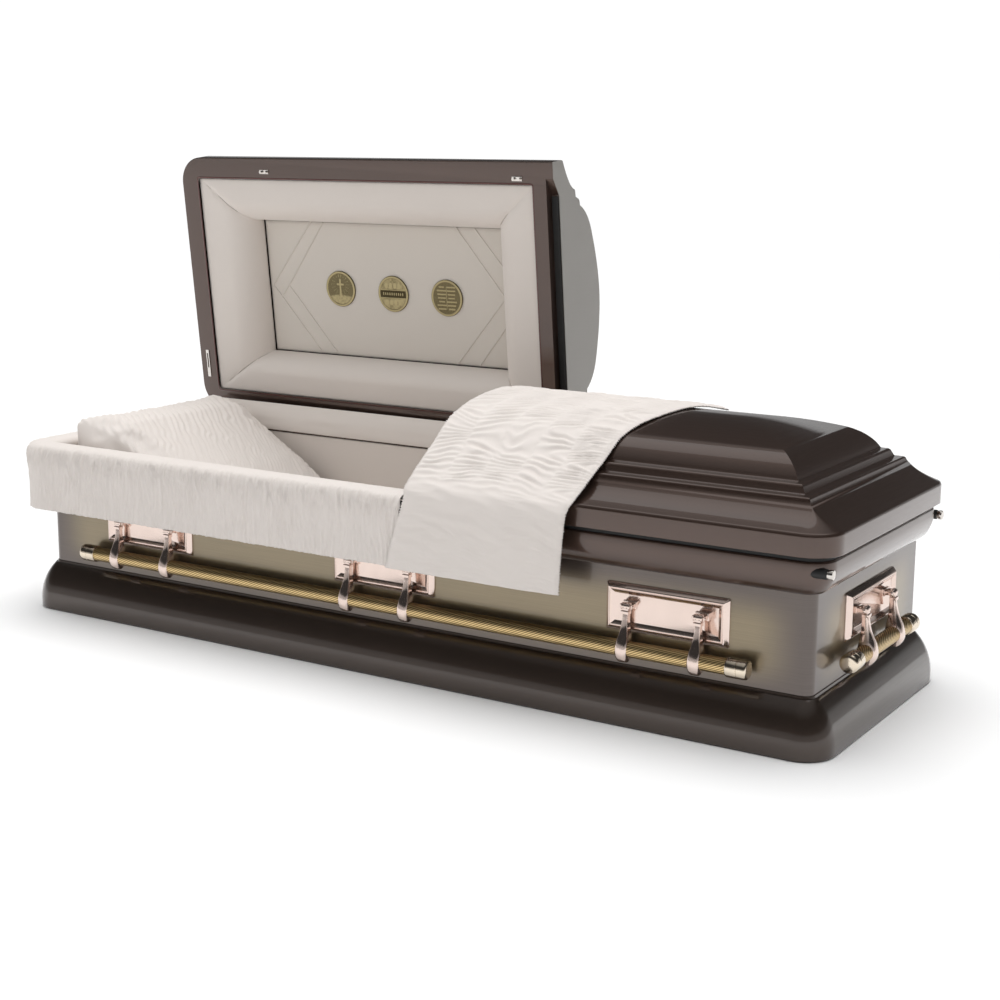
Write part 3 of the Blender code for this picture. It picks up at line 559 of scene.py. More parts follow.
def cord_tree():
    """Turn a path of edges into a round bead that follows it."""
    tree = bpy.data.node_groups.new("bead_along_path", "GeometryNodeTree")
    tree.interface.new_socket("Geometry", in_out="INPUT", socket_type="NodeSocketGeometry")
    radius = tree.interface.new_socket("Bead radius", in_out="INPUT", socket_type="NodeSocketFloat")
    sides = tree.interface.new_socket("Sides", in_out="INPUT", socket_type="NodeSocketInt")
    finish = tree.interface.new_socket("Finish", in_out="INPUT", socket_type="NodeSocketMaterial")
    tree.interface.new_socket("Geometry", in_out="OUTPUT", socket_type="NodeSocketGeometry")
    start, end = tree.nodes.new("NodeGroupInput"), tree.nodes.new("NodeGroupOutput")
    path = node(tree, "GeometryNodeMeshToCurve", {"Mesh": start.outputs["Geometry"]})
    ring = node(tree, "GeometryNodeCurvePrimitiveCircle", {
        "Resolution": start.outputs["Sides"], "Radius": start.outputs["Bead radius"]})
    swept = node(tree, "GeometryNodeCurveToMesh", {
        "Curve": path.outputs["Curve"], "Profile Curve": ring.outputs["Curve"], "Fill Caps": True})
    real = node(tree, "GeometryNodeRealizeInstances", {"Geometry": swept.outputs["Mesh"]})
    painted = node(tree, "GeometryNodeSetMaterial", {
        "Geometry": real.outputs["Geometry"], "Material": start.outputs["Finish"]})
    tree.links.new(painted.outputs["Geometry"], end.inputs["Geometry"])
    return tree, {"radius": radius.identifier, "sides": sides.identifier, "finish": finish.identifier}


def stud_tree():
    """Set one small domed head, flattened along Y, on each point of a mesh."""
    tree = bpy.data.node_groups.new("screw_heads", "GeometryNodeTree")
    tree.interface.new_socket("Geometry", in_out="INPUT", socket_type="NodeSocketGeometry")
    radius = tree.interface.new_socket("Head radius", in_out="INPUT", socket_type="NodeSocketFloat")
    finish = tree.interface.new_socket("Finish", in_out="INPUT", socket_type="NodeSocketMaterial")
    tree.interface.new_socket("Geometry", in_out="OUTPUT", socket_type="NodeSocketGeometry")
    start, end = tree.nodes.new("NodeGroupInput"), tree.nodes.new("NodeGroupOutput")
    head = node(tree, "GeometryNodeMeshUVSphere", {
        "Segments": 12, "Rings": 8, "Radius": start.outputs["Head radius"]})
    dome = node(tree, "GeometryNodeTransform", {"Geometry": head.outputs["Mesh"], "Scale": (1.0, 0.45, 1.0)})
    many = node(tree, "GeometryNodeInstanceOnPoints", {
        "Points": start.outputs["Geometry"], "Instance": dome.outputs["Geometry"]})
    real = node(tree, "GeometryNodeRealizeInstances", {"Geometry": many.outputs["Instances"]})
    painted = node(tree, "GeometryNodeSetMaterial", {
        "Geometry": real.outputs["Geometry"], "Material": start.outputs["Finish"]})
    tree.links.new(painted.outputs["Geometry"], end.inputs["Geometry"])
    return tree, {"radius": radius.identifier, "finish": finish.identifier}


CORD_TREE, CORD_SOCKETS = cord_tree()
STUD_TREE, STUD_SOCKETS = stud_tree()


def grown(name, mesh, tree, sockets, **values):
    """Run a node tree on a mesh and keep the plain result."""
    obj = bpy.data.objects.new(name, mesh)
    SCENE.collection.objects.link(obj)
    modifier = obj.modifiers.new("grown", "NODES")
    modifier.node_group = tree
    for key, value in values.items():
        modifier[sockets[key]] = value
    applied(obj)
    finish = values["finish"]
    obj.data.materials.clear()
    obj.data.materials.append(finish)
    for polygon in obj.data.polygons:
        polygon.material_index = 0
    smooth(obj.data, 50.0)
    return obj


def path_mesh(name, paths, closed=False):
    points, edges = [], []
    for path in paths:
        first = len(points)
        points += [tuple(point) for point in path]
        edges += [(first + index, first + index + 1) for index in range(len(path) - 1)]
        if closed:
            edges.append((len(points) - 1, first))
    mesh = bpy.data.meshes.new(name)
    mesh.from_pydata(points, edges, [])
    return mesh


def bead(name, paths, radius, finish, sides=8, closed=False):
    return grown(name, path_mesh(name, paths, closed), CORD_TREE, CORD_SOCKETS,
                 radius=radius, sides=sides, finish=finish)


# Cloth tools


def wander(u, v, seed):
    """Smooth random heights from -1 to 1, one lattice step per unit of u and v."""
    table = np.random.default_rng(seed).uniform(-1.0, 1.0, (128, 128))
    iu, iv = np.floor(u).astype(int), np.floor(v).astype(int)
    fu, fv = u - iu, v - iv
    fu, fv = fu * fu * (3 - 2 * fu), fv * fv * (3 - 2 * fv)
    a, b = table[iu % 128, iv % 128], table[(iu + 1) % 128, iv % 128]
    c, d = table[iu % 128, (iv + 1) % 128], table[(iu + 1) % 128, (iv + 1) % 128]
    return (a * (1 - fu) + b * fu) * (1 - fv) + (c * (1 - fu) + d * fu) * fv


def gathers(along, across, spacing, reach, seed):
    """Shirred folds, 0 to 1: ridges that run `along`, a spacing apart `across`, and wander and merge."""
    drift = 0.55 * wander(along / reach, across / (3.0 * spacing), seed)
    drift = drift + 0.30 * wander(along / (0.4 * reach), across / (1.3 * spacing), seed + 1)
    wave = 0.5 + 0.5 * np.cos(2 * np.pi * (across / spacing + drift))
    strength = 0.62 + 0.38 * wander(along / (0.55 * reach), across / (1.1 * spacing), seed + 2)
    return wave ** 1.3 * strength


def step_between(low, high, value):
    t = np.clip((value - low) / (high - low), 0.0, 1.0)
    return t * t * (3 - 2 * t)


def grid_normals(points):
    du, dv = np.gradient(points, axis=0), np.gradient(points, axis=1)
    normals = np.cross(du, dv)
    return normals / np.maximum(np.linalg.norm(normals, axis=2, keepdims=True), 1e-12)


def grid_mesh(name, points, thickness=0.0):
    """A mesh from a grid of points. A thickness gives it a back and closed edges."""
    rows, columns = points.shape[:2]
    index = np.arange(rows * columns).reshape(rows, columns)
    front = np.stack([index[:-1, :-1], index[1:, :-1], index[1:, 1:], index[:-1, 1:]], axis=-1).reshape(-1, 4)
    vertices, faces = points.reshape(-1, 3), [front]
    if thickness:
        back = (points - grid_normals(points) * thickness).reshape(-1, 3)
        vertices = np.vstack([vertices, back])
        faces.append(front[:, ::-1] + rows * columns)
        rim = np.concatenate([index[:, 0], index[-1, 1:], index[-2::-1, -1], index[0, -2:0:-1]])
        after = np.roll(rim, -1)
        faces.append(np.stack([after, rim, rim + rows * columns, after + rows * columns], axis=-1))
    mesh = bpy.data.meshes.new(name)
    mesh.from_pydata(vertices.tolist(), [], np.vstack(faces).tolist())
    mesh.shade_smooth()
    return mesh


def even_line(points, count, fine=12):
    """A smooth curve through the points, with count points at equal distances along it."""
    knots = np.array(points, dtype=float)
    padded = np.vstack([2 * knots[0] - knots[1], knots, 2 * knots[-1] - knots[-2]])
    dense = []
    for a, b, c, d in zip(padded, padded[1:], padded[2:], padded[3:]):
        for t in np.linspace(0, 1, fine, endpoint=False):
            dense.append(0.5 * (2 * b + (c - a) * t + (2 * a - 5 * b + 4 * c - d) * t ** 2
                                + (3 * b - a - 3 * c + d) * t ** 3))
    dense.append(knots[-1])
    dense = np.array(dense)
    run = np.concatenate([[0], np.cumsum(np.linalg.norm(np.diff(dense[:, :2], axis=0), axis=1))])
    target = np.linspace(0, run[-1], count)
    return np.stack([np.interp(target, run, dense[:, axis]) for axis in range(knots.shape[1])], axis=1), run[-1]


def remeshed(obj, size):
    modifier = obj.modifiers.new("even", "REMESH")
    modifier.mode = "VOXEL"
    modifier.voxel_size = size
    return applied(obj)


def inflate(obj, pressure, cap, frames=20):
    """Swell a remeshed cushion as pressed cloth. No point moves further than the cap."""
    before = np.array([vertex.co for vertex in obj.data.vertices])
    cloth_modifier = obj.modifiers.new("swell", "CLOTH")
    settings = cloth_modifier.settings
    settings.quality = 5
    settings.mass = 0.3
    settings.tension_stiffness = 12.0
    settings.compression_stiffness = 12.0
    settings.bending_stiffness = 0.6
    settings.use_pressure = True
    settings.uniform_pressure_force = pressure
    settings.effector_weights.gravity = 0.0
    cloth_modifier.point_cache.frame_end = frames
    for number in range(1, frames + 1):
        SCENE.frame_set(number)
    mesh = evaluated(obj)
    obj.modifiers.clear()
    after = np.array([vertex.co for vertex in mesh.vertices])
    move = after - before
    length = np.linalg.norm(move, axis=1, keepdims=True)
    move *= np.minimum(1.0, cap / np.maximum(length, 1e-9))
    mesh.vertices.foreach_set("co", (before + move).ravel())
    obj.data = mesh
    SCENE.frame_set(1)
    return obj


# Painted metal body


def base_moulding():
    radius, low, high = 0.128, 0.020, 0.113
    outer = [(0.044, 0.0), (0.004, 0.0), (0.0, 0.004), (0.0, low)]
    for step in range(1, 19):
        height = low + (high - low) * step / 18
        outer.append((radius - math.sqrt(radius ** 2 - (height - low) ** 2), height))
    outer = eased(outer + [(0.0425, 0.111), (0.0440, 0.118), (0.0455, 0.118)], 0.0012)
    inner = [(0.0455, 0.1100), (0.0385, 0.1050), (0.0220, 0.080), (0.0060, 0.042), (0.0025, 0.020), (0.0025, 0.006),
             (0.0060, SHEET), (0.044, SHEET)]
    obj = link("base_skin", moulding_mesh("base_skin", outer + inner), BASE_PAINT)
    finish_piece(obj, "casket", "base_paint", "base_moulding")


def body_panels():
    low, high = 0.0018, 0.3862
    walls = (BODY_INSET, BODY_INSET + SHEET)
    profile = [(walls[0], low), (walls[1], low), (walls[1], high), (walls[0], high)]
    obj = link("body_skin", moulding_mesh("body_skin", profile), BRONZE)
    finish_piece(obj, "casket", "body_bronze", "body_shell")


def top_moulding():
    face = bezier((0.0455, 0.317), (0.0240, 0.3190), (0.0105, 0.3590), (0.012, 0.3745), 14)
    outer = [(0.0455, 0.317)] + face + [(0.0130, 0.3852), (0.0165, 0.388), (0.0575, 0.388), (0.0575, 0.368)]
    outer = eased(outer, 0.0014)
    inner = [(0.0560, 0.368), (0.0560, 0.3865), (0.0185, 0.3865), (0.0145, 0.383), (0.0150, 0.372), (0.0250, 0.335),
             (0.0455, 0.3190)]
    obj = link("rim_skin", moulding_mesh("rim_skin", outer + inner), LID_PAINT)
    holes = []
    for side in (-1, 1):
        hole = turned_mesh("hole", [(0.0, 0.985), (0.0103, 0.985), (0.0103, 1.10), (0.0, 1.10)], 32)
        hole.transform(Matrix.Translation((0.0, side * 0.315, 0.367)))
        holes.append(hole)
    cut(obj, *holes)
    finish_piece(obj, "casket", "lid_paint", "top_moulding")


def rim_gasket():
    profile = eased([(0.018, 0.3883), (0.026, 0.3883), (0.026, 0.3955), (0.018, 0.3955), (0.018, 0.3883)], 0.002)
    obj = link("rim_seal", moulding_mesh("rim_seal", profile[:-1]), RUBBER)
    finish_piece(obj, "casket", "black_rubber", "rim_gasket")


def lock_pins():
    """A black sleeve with a bright turned tip."""
    for name, side in (("front", -1), ("back", 1)):
        place = Matrix.Translation((0.0, side * 0.315, 0.367))
        sleeve = turned_mesh("sleeve", [(0.0, 0.985), (0.0098, 0.985), (0.0100, 1.020), (0.0100, 1.0340),
                                        (0.0094, 1.0352), (0.0, 1.0352)], 32)
        sleeve.transform(place)
        sleeve_piece = link(f"pin_sleeve_{name}", sleeve, RUBBER)
        finish_piece(sleeve_piece, "casket", "black_rubber")
        tip = turned_mesh("tip", [(0.0, 1.030), (0.0086, 1.030), (0.0086, 1.0385), (0.0100, 1.0392), (0.0100, 1.0440),
                                  (0.0092, 1.0462), (0.0070, 1.0470), (0.0, 1.0470)], 32)
        tip.transform(place)
        finish_piece(link(f"pin_tip_{name}", tip, CHROME), "casket", "chrome", f"lid_pin_{name}")


# Lids


def lid_line():
    """The lid's outer section, from the foot of its skirt to the crown, as insets and heights."""
    line = [(0.0, LID_BOTTOM), (0.0, 0.4385), (0.0030, 0.4435)]
    line += bezier(line[-1], (0.0300, 0.4535), (0.0715, 0.4735), (0.0755, 0.4940), 14)
    line += [(0.0800, 0.4965), (0.0940, 0.4980), (0.1010, 0.5120), (0.1050, 0.5150), (0.1170, 0.5170)]
    line += bezier(line[-1], (0.1270, 0.5370), (0.1480, 0.5550), (0.1750, 0.5650), 12)
    line += bezier(line[-1], (0.2150, 0.5780), (0.2800, LID_CROWN), (WIDTH / 2, LID_CROWN), 14)
    return line


def lid_skin(name, cutters):
    outer = eased([(0.0555, LID_BOTTOM)] + lid_line(), 0.0022, 4)
    inner = offset_line([(0.0555, LID_BOTTOM)] + lid_line(), SHEET)
    inner[0] = (0.0555, LID_BOTTOM + SHEET)
    inner[-1] = (WIDTH / 2, LID_CROWN - SHEET)
    rings = [plan_ring(inset, height) for inset, height in inner[::-1] + outer]
    obj = link(name, loft_mesh(name, rings, caps=False), LID_PAINT)
    return cut(obj, *cutters)


def rebate():
    outline = [(-0.3207, 0.388), (0.3207, 0.388), (0.263, 0.421), (-0.263, 0.421)]
    return prism_mesh("rebate", outline, 0.081, 0.1125)


def end_plate(name, span, cutters=()):
    front = [(inset - WIDTH / 2, height) for inset, height in eased(lid_line(), 0.0022, 4)]
    back = [(-y, height) for y, height in front[-2::-1]]
    obj = link(name, prism_mesh(name, front + back, *span), PLATE_GREY)
    if cutters:
        cut(obj, *cutters)
    return obj


def lids():
    shell = lid_skin("head_lid_skin", [box_mesh("end", (HEAD_SHELL_END, -1, 0), (2, 1, 1)), rebate()])
    shell.data.transform(TO_OPEN)
    finish_piece(shell, "head_lid", "lid_paint", "head_lid_shell")
    plate = end_plate("head_lid_cut_end", HEAD_PLATE, [rebate()])
    plate.data.transform(TO_OPEN)
    finish_piece(plate, "head_lid", "plate_grey", "head_lid_end_plate")
    foot = lid_skin("foot_lid_skin", [box_mesh("end", (-2, -1, 0), (FOOT_SHELL_START, 1, 1))])
    finish_piece(foot, "foot_lid", "lid_paint", "foot_lid_shell")
    finish_piece(end_plate("foot_lid_cut_end", FOOT_PLATE), "foot_lid", "plate_grey", "foot_lid_end_plate")
    rim = [(-0.9965, -0.2905), (0.0445, -0.2905), (0.0445, 0.2905), (-0.9965, 0.2905)]
    corners = []
    for (x, y), (side_x, side_y) in zip(rim, ((1, 1), (-1, 1), (-1, -1), (1, -1))):
        turn = {(1, 1): 180, (-1, 1): 270, (-1, -1): 0, (1, -1): 90}[(side_x, side_y)]
        for step in range(5):
            angle = math.radians(turn + 90 * step / 4)
            corners.append((x + side_x * 0.006 + 0.006 * math.cos(angle), y + side_y * 0.006 + 0.006 * math.sin(angle),
                            0.3990))
    # The bead's colour holds a painted red reflection over the lid's brown paint.
    rim_bead = bead("head_lid_bead", [corners], 0.0022, BEAD_PAINT_AND_REFLECTION, closed=True)
    rim_bead.data.transform(TO_OPEN)
    finish_piece(rim_bead, "head_lid", "lid_paint")


def hinge_screws():
    """Rows of screw heads along the hinge strips at the back."""
    face = WIDTH / 2 + GAP + 0.0018
    for lid, (first, last), turn in (("head_lid", (-0.905, 0.035), TO_OPEN), ("foot_lid", (0.175, 0.905), None)):
        row = [(x, face, 0.4325) for x in np.linspace(first, last, 9)]
        heads = grown(f"{lid}_hinge_screws", path_mesh("row", [row]), STUD_TREE, STUD_SOCKETS,
                      radius=0.0036, finish=CHROME)
        if turn:
            heads.data.transform(turn)
        finish_piece(heads, lid, "chrome")


# Lining of the head lid


def cap_roll():
    """The padded roll between the rim and the panel, with mitred corners drawn in along their seams."""
    shares = np.concatenate([np.linspace(0, 0.5, 12), 0.5 + 0.5 * np.sin(np.radians(np.linspace(3, 90, 26)))])
    swell = np.concatenate([np.linspace(0, 0.5, 12) * 2, np.ones(26)])
    falls = np.concatenate([np.full(12, 0.4022), 0.479 - 0.0768 * np.cos(np.radians(np.linspace(3, 90, 26)))])
    falls = falls + 0.0018 * (1 - swell) ** 3 - 0.0
    sides = []
    for side in range(4):
        rim_a, rim_b = rim_corner(ROLL_RIM, side), rim_corner(ROLL_RIM, side + 1)
        panel_a, panel_b = rim_corner(ROLL_PANEL, side), rim_corner(ROLL_PANEL, side + 1)
        long_side = abs(rim_b[0] - rim_a[0]) > 0.8
        columns = 150 if long_side else 84
        along = 0.5 - 0.5 * np.cos(np.linspace(0, np.pi, columns))
        along = 0.6 * np.linspace(0, 1, columns) + 0.4 * along
        a = rim_a[None] + (panel_a - rim_a)[None] * shares[:, None]
        b = rim_b[None] + (panel_b - rim_b)[None] * shares[:, None]
        flat = a[:, None] + (b - a)[:, None] * along[None, :, None]
        height = np.repeat(falls[:, None], columns, axis=1)
        length = np.linalg.norm(b - a, axis=1)[:, None]
        seam = np.minimum(along[None] * length, (1 - along[None]) * length)
        crease = np.exp(-(seam / 0.011) ** 1.2)
        pulls = wander(along[None] * length / 0.03, shares[:, None] * 2.5, 40 + side)
        pucker = np.exp(-(seam / 0.055) ** 2) * pulls * 0.0012
        belly = 0.0008 * wander(along[None] * length / 0.16, shares[:, None] * 2.0, 60 + side)
        lift = np.sin(np.clip(shares, 0, 1) * np.pi)[:, None]
        height = height + (0.0055 * crease + pucker + belly) * lift
        grid = np.concatenate([flat, height[..., None]], axis=2)
        sides.append(grid)
    shape = bmesh.new()
    for grid in sides:
        shape.from_mesh(grid_mesh("side", grid))
    bmesh.ops.remove_doubles(shape, verts=shape.verts, dist=0.0004)
    mesh = mesh_from(shape, "cap_roll")
    mesh.shade_smooth()
    obj = link("cap_roll", mesh, LINING)
    wall = obj.modifiers.new("wall", "SOLIDIFY")
    wall.thickness = 0.004
    wall.offset = -1.0
    face_lining(obj)
    applied(obj)
    obj.data.transform(TO_OPEN)
    finish_piece(obj, "head_lid", "lining_cloth", "cap_roll_frame")


def rim_corner(rectangle, index):
    left, right, low, high = rectangle
    return np.array([(left, low), (right, low), (right, high), (left, high)][index % 4])


def face_lining(obj):
    """Turn the lining's faces towards the open side of the lid."""
    total = sum(polygon.normal.z * polygon.area for polygon in obj.data.polygons)
    if total > 0:
        obj.data.flip_normals()


def chevron_paths():
    """The raised lines on the panel, nested arrows at both ends, as (x, y) on the closed lid."""
    left_outer = [(-0.690, -0.171), (-0.836, 0.005), (-0.692, 0.176)]
    left_inner = [(-0.651, -0.168), (-0.782, 0.004), (-0.639, 0.176)]
    left_tail = [(-0.782, 0.004), (-0.811, 0.036)]
    right_outer = [(-0.179, -0.167), (-0.088, -0.058)]
    right_inner = [(-0.236, -0.170), (-0.098, 0.004), (-0.252, 0.181)]
    right_low = [(-0.088, 0.062), (-0.184, 0.180)]
    return [left_outer, left_inner, left_tail, right_outer, right_inner, right_low]


def cap_panel():
    left, right, low, high = ROLL_PANEL
    xs = np.linspace(left + 0.0006, right - 0.0006, 190)
    ys = np.linspace(low + 0.0006, high - 0.0006, 90)
    x, y = np.meshgrid(xs, ys, indexing="ij")
    edge = np.minimum(np.minimum(x - left, right - x), np.minimum(y - low, high - y))
    z = PANEL_FRONT + 0.0006 + 0.0003 * wander(x / 0.06, y / 0.06, 8) + 0.004 * np.exp(-edge / 0.006)
    obj = link("panel_cover", grid_mesh("panel_cover", np.stack([x, y, z], axis=2), 0.0), PANEL_CLOTH)
    face_lining(obj)
    wall = obj.modifiers.new("wall", "SOLIDIFY")
    wall.thickness = 0.006
    wall.offset = -1.0
    applied(obj)
    obj.data.transform(TO_OPEN)
    finish_piece(obj, "head_lid", "lining_cloth", "cap_panel")
    paths = []
    for path in chevron_paths():
        line = []
        for (x0, y0), (x1, y1) in zip(path, path[1:]):
            for t in np.linspace(0, 1, 24, endpoint=False):
                line.append((x0 + (x1 - x0) * t, y0 + (y1 - y0) * t, PANEL_FRONT + 0.0002))
        line.append((*path[-1], PANEL_FRONT + 0.0002))
        paths.append(line)
    ridges = bead("panel_ridges", paths, 0.0021, PANEL_CLOTH, sides=10)
    ridges.data.transform(TO_OPEN)
    finish_piece(ridges, "head_lid", "lining_cloth")


# Medallions


def disc_relief(kind, x, y):
    """The relief of one medallion, 0 to 1, from a place on its unit disc."""
    radius = np.hypot(x, y)
    field = np.full_like(x, 0.25)
    if kind == 1:
        mound = step_between(-0.28, -0.40, y + 0.18 * x ** 2)
        pebbles = 0.5 + 0.5 * np.cos(22 * x + 3 * wander(x * 6, y * 6, 3)) * np.cos(22 * y + 2)
        field = field + 0.45 * mound * (0.4 + 0.6 * pebbles)
        upright = (np.abs(x) < 0.055) & (y > -0.34) & (y < 0.58)
        arms = (np.abs(y - 0.26) < 0.055) & (np.abs(x) < 0.24)
        field = np.where(upright | arms, 0.95, field)
        rays = (np.abs(np.sin(9 * np.arctan2(y - 0.26, x))) < 0.10) & (np.hypot(x, y - 0.26) < 0.62)
        field = np.where(rays & ~(upright | arms) & (np.hypot(x, y - 0.26) > 0.36), 0.62, field)
    elif kind == 2:
        band = np.abs(y) < 0.20
        field = np.where(band, 0.06, 0.50 + 0.18 * wander(x * 9, y * 9, 5))
        edges = np.abs(np.abs(y) - 0.22) < 0.028
        field = np.where(edges, 0.95, field)
        for centre in (-0.42, -0.14, 0.14, 0.42):
            for height in (-0.46, 0.46):
                leaf = np.hypot((x - centre) / 0.10, (y - height) / 0.17) < 1
                field = np.where(leaf, 0.90, field)
        strokes = (np.abs(y) < 0.075) & (np.abs(((x * 7) % 1) - 0.5) < 0.22) & (np.abs(x) < 0.72)
        field = np.where(strokes, 0.80, field)
    else:
        for row in range(7):
            height = 0.60 - 0.20 * row
            for side in (-1, 1):
                length = 0.20 + 0.05 * ((row * 7 + (side > 0) * 3) % 4)
                centre = side * 0.31
                stroke = (np.abs(y - height) < 0.042) & (np.abs(x - centre) < length * (1 - 0.3 * abs(height)))
                field = np.where(stroke, 0.80, field)
        field = np.where((np.abs(x) < 0.018) & (np.abs(y) < 0.62), 0.55, field)
    rim = step_between(0.86, 0.89, radius) * (1 - step_between(0.975, 1.0, radius))
    field = np.where(radius > 0.86, np.maximum(0.25, rim), field)
    return np.clip(field, 0.0, 1.0)


def medallions():
    for number, (centre_x, centre_y) in enumerate(MEDALLION_CENTRES, start=1):
        radii = np.linspace(0.0, 1.0, 66)[1:]
        angles = np.linspace(0, 2 * np.pi, 168, endpoint=False)
        r, a = np.meshgrid(radii, angles, indexing="ij")
        x, y = r * np.cos(a), r * np.sin(a)
        relief = disc_relief(number, x, -y)
        front = PANEL_FRONT - GAP - 0.0037
        z = front + 0.0010 * (1 - relief)
        size = 0.0470
        rows = np.stack([centre_x + size * x, centre_y + size * y, z], axis=2)
        edge = rows[-1].copy()
        edge[:, 2] = PANEL_FRONT - GAP
        vertices = np.vstack([rows.reshape(-1, 3), edge, [[centre_x, centre_y, z[0].mean()]]])
        count = len(angles)
        faces = []
        for ring in range(len(radii)):
            for step in range(count):
                after = (step + 1) % count
                faces.append((ring * count + step, (ring + 1) * count + step,
                              (ring + 1) * count + after, ring * count + after))
        hub = len(vertices) - 1
        faces += [(hub, step, (step + 1) % count) for step in range(count)]
        faces.append(tuple(len(radii) * count + step for step in range(count)))
        mesh = bpy.data.meshes.new(f"medallion_face_{number}")
        mesh.from_pydata(vertices.tolist(), [], faces)
        values = np.concatenate([relief.ravel(), np.full(count, 0.3), [relief[0].mean()]])
        attribute = mesh.attributes.new("relief", "FLOAT", "POINT")
        attribute.data.foreach_set("value", values.astype(np.float32))
        shape = bmesh.new()
        shape.from_mesh(mesh)
        bmesh.ops.recalc_face_normals(shape, faces=shape.faces)
        shape.to_mesh(mesh)
        shape.free()
        mesh.shade_smooth()
        mesh.transform(TO_OPEN)
        obj = link(f"medallion_face_{number}", mesh, BRASS)
        finish_piece(obj, "head_lid", "antique_brass", f"medallion_{number}")


# Hardware, in the frame of its hinge axis: -Y outwards, X along the bar


def plate_meshes():
    half, low, high = 0.135, -0.058, 0.0415
    steps = [(0.0, 0.0), (0.0, 0.0022), (0.0008, 0.0032), (0.0070, 0.0094), (0.0082, 0.0106), (0.0094, 0.0110),
             (0.0106, 0.0106), (0.0112, 0.0098), (0.0122, 0.0098), (0.0128, 0.0108), (0.0138, 0.0110),
             (0.0146, 0.0104), (0.0206, 0.0064), (0.0215, 0.0060)]
    rings = []
    for inset, depth in steps:
        y = AXIS_OFFSET - GAP - depth
        corner = max(0.0045 - 0.6 * inset, 0.0006)
        ring = []
        reach_x, low_z, high_z = half - inset - corner, low + inset + corner, high - inset - corner
        for quarter, (cx, cz) in enumerate(((reach_x, high_z), (-reach_x, high_z), (-reach_x, low_z), (reach_x, low_z))):
            for step in range(5):
                angle = math.radians(90 * quarter + 22.5 * step)
                ring.append((cx + corner * math.cos(angle), y, cz + corner * math.sin(angle)))
        rings.append(ring)
    frame_part = loft_mesh("frame", rings)
    smooth(frame_part, 28.0)
    for polygon in frame_part.polygons:
        flat = abs(polygon.normal.y) > 0.99 and abs(polygon.center.y - (AXIS_OFFSET - GAP - 0.0060)) < 0.0004
        polygon.material_index = 1 if flat else 0
    lugs = []
    for side in (-1, 1):
        middle = side * ARM_SPACING
        for lug_side in (-1, 1):
            near, far = middle + lug_side * 0.0104, middle + lug_side * 0.0134
            lugs.append(box_mesh("lug", (min(near, far), -0.0045, -0.0045), (max(near, far), 0.0180, 0.0045), 0.0009))
        lugs.append(box_mesh("foot", (middle - 0.0150, 0.0130, -0.0075), (middle + 0.0150, 0.0175, 0.0075), 0.0008))
        pin = turned_mesh("pin", [(0.0, -0.0150), (0.0020, -0.0148), (0.0036, -0.0138), (0.0038, -0.0133),
                                  (0.0027, -0.0132), (0.0027, 0.0132), (0.0038, 0.0133), (0.0036, 0.0138),
                                  (0.0020, 0.0148), (0.0, 0.0150)], 20)
        pin.transform(Matrix.Translation((middle, 0.0, 0.0)))
        lugs.append(pin)
    return [frame_part] + [with_index(lug, 0) for lug in lugs]


def arm_meshes():
    """A knuckle with ribs, a collar, and a bottle-shaped blade whose foot wraps the bar."""
    knots = [(-0.0120, 0.0062, -0.0068, 0.0060), (-0.0190, 0.0064, -0.0085, 0.0060),
             (-0.0300, 0.0070, -0.0105, 0.0062), (-0.0440, 0.0084, -0.0140, 0.0068),
             (-0.0560, 0.0104, -0.0190, 0.0080), (-0.0680, 0.0130, -0.0245, 0.0098),
             (-0.0800, 0.0146, -0.0278, 0.0118), (-0.0910, 0.0148, -0.0285, 0.0125),
             (-0.1010, 0.0136, -0.0255, 0.0090), (-0.1080, 0.0118, -0.0205, 0.0030),
             (-0.1115, 0.0098, -0.0160, -0.0030)]
    line = []
    for a, b, c, d in zip([knots[0]] + knots, knots, knots[1:], knots[2:] + [knots[-1]]):
        for step in range(4):
            t = step / 4
            line.append(tuple(0.5 * (2 * q + (r - p) * t + (2 * p - 5 * q + 4 * r - s) * t ** 2
                                     + (3 * q - p - 3 * r + s) * t ** 3) for p, q, r, s in zip(a, b, c, d)))
    line.append(knots[-1])
    rings = []
    for height, half, front, back in line:
        middle, depth = (front + back) / 2, (back - front) / 2
        ring = []
        for step in range(28):
            angle = 2 * math.pi * step / 28
            c, s = math.cos(angle), math.sin(angle)
            power = 0.55
            ring.append((half * math.copysign(abs(c) ** power, c),
                         middle + depth * math.copysign(abs(s) ** power, s), height))
        rings.append(ring)
    blade = loft_mesh("blade", rings)
    smooth(blade, 40.0)
    collar = box_mesh("collar", (-0.0086, -0.0098, -0.0150), (0.0086, 0.0050, -0.0078), 0.0012)
    ribs = [(0.0, -0.0100), (0.0060, -0.0100), (0.0074, -0.0092), (0.0080, -0.0080), (0.0080, -0.0050),
            (0.0072, -0.0044), (0.0072, -0.0034), (0.0080, -0.0028), (0.0080, 0.0028), (0.0072, 0.0034),
            (0.0072, 0.0044), (0.0080, 0.0050), (0.0080, 0.0080), (0.0074, 0.0092), (0.0060, 0.0100), (0.0, 0.0100)]
    knuckle = turned_mesh("knuckle", ribs, 32)
    neck = box_mesh("neck", (-0.0070, -0.0072, -0.0100), (0.0070, 0.0048, -0.0020), 0.0008)
    return [blade, collar, knuckle, neck]


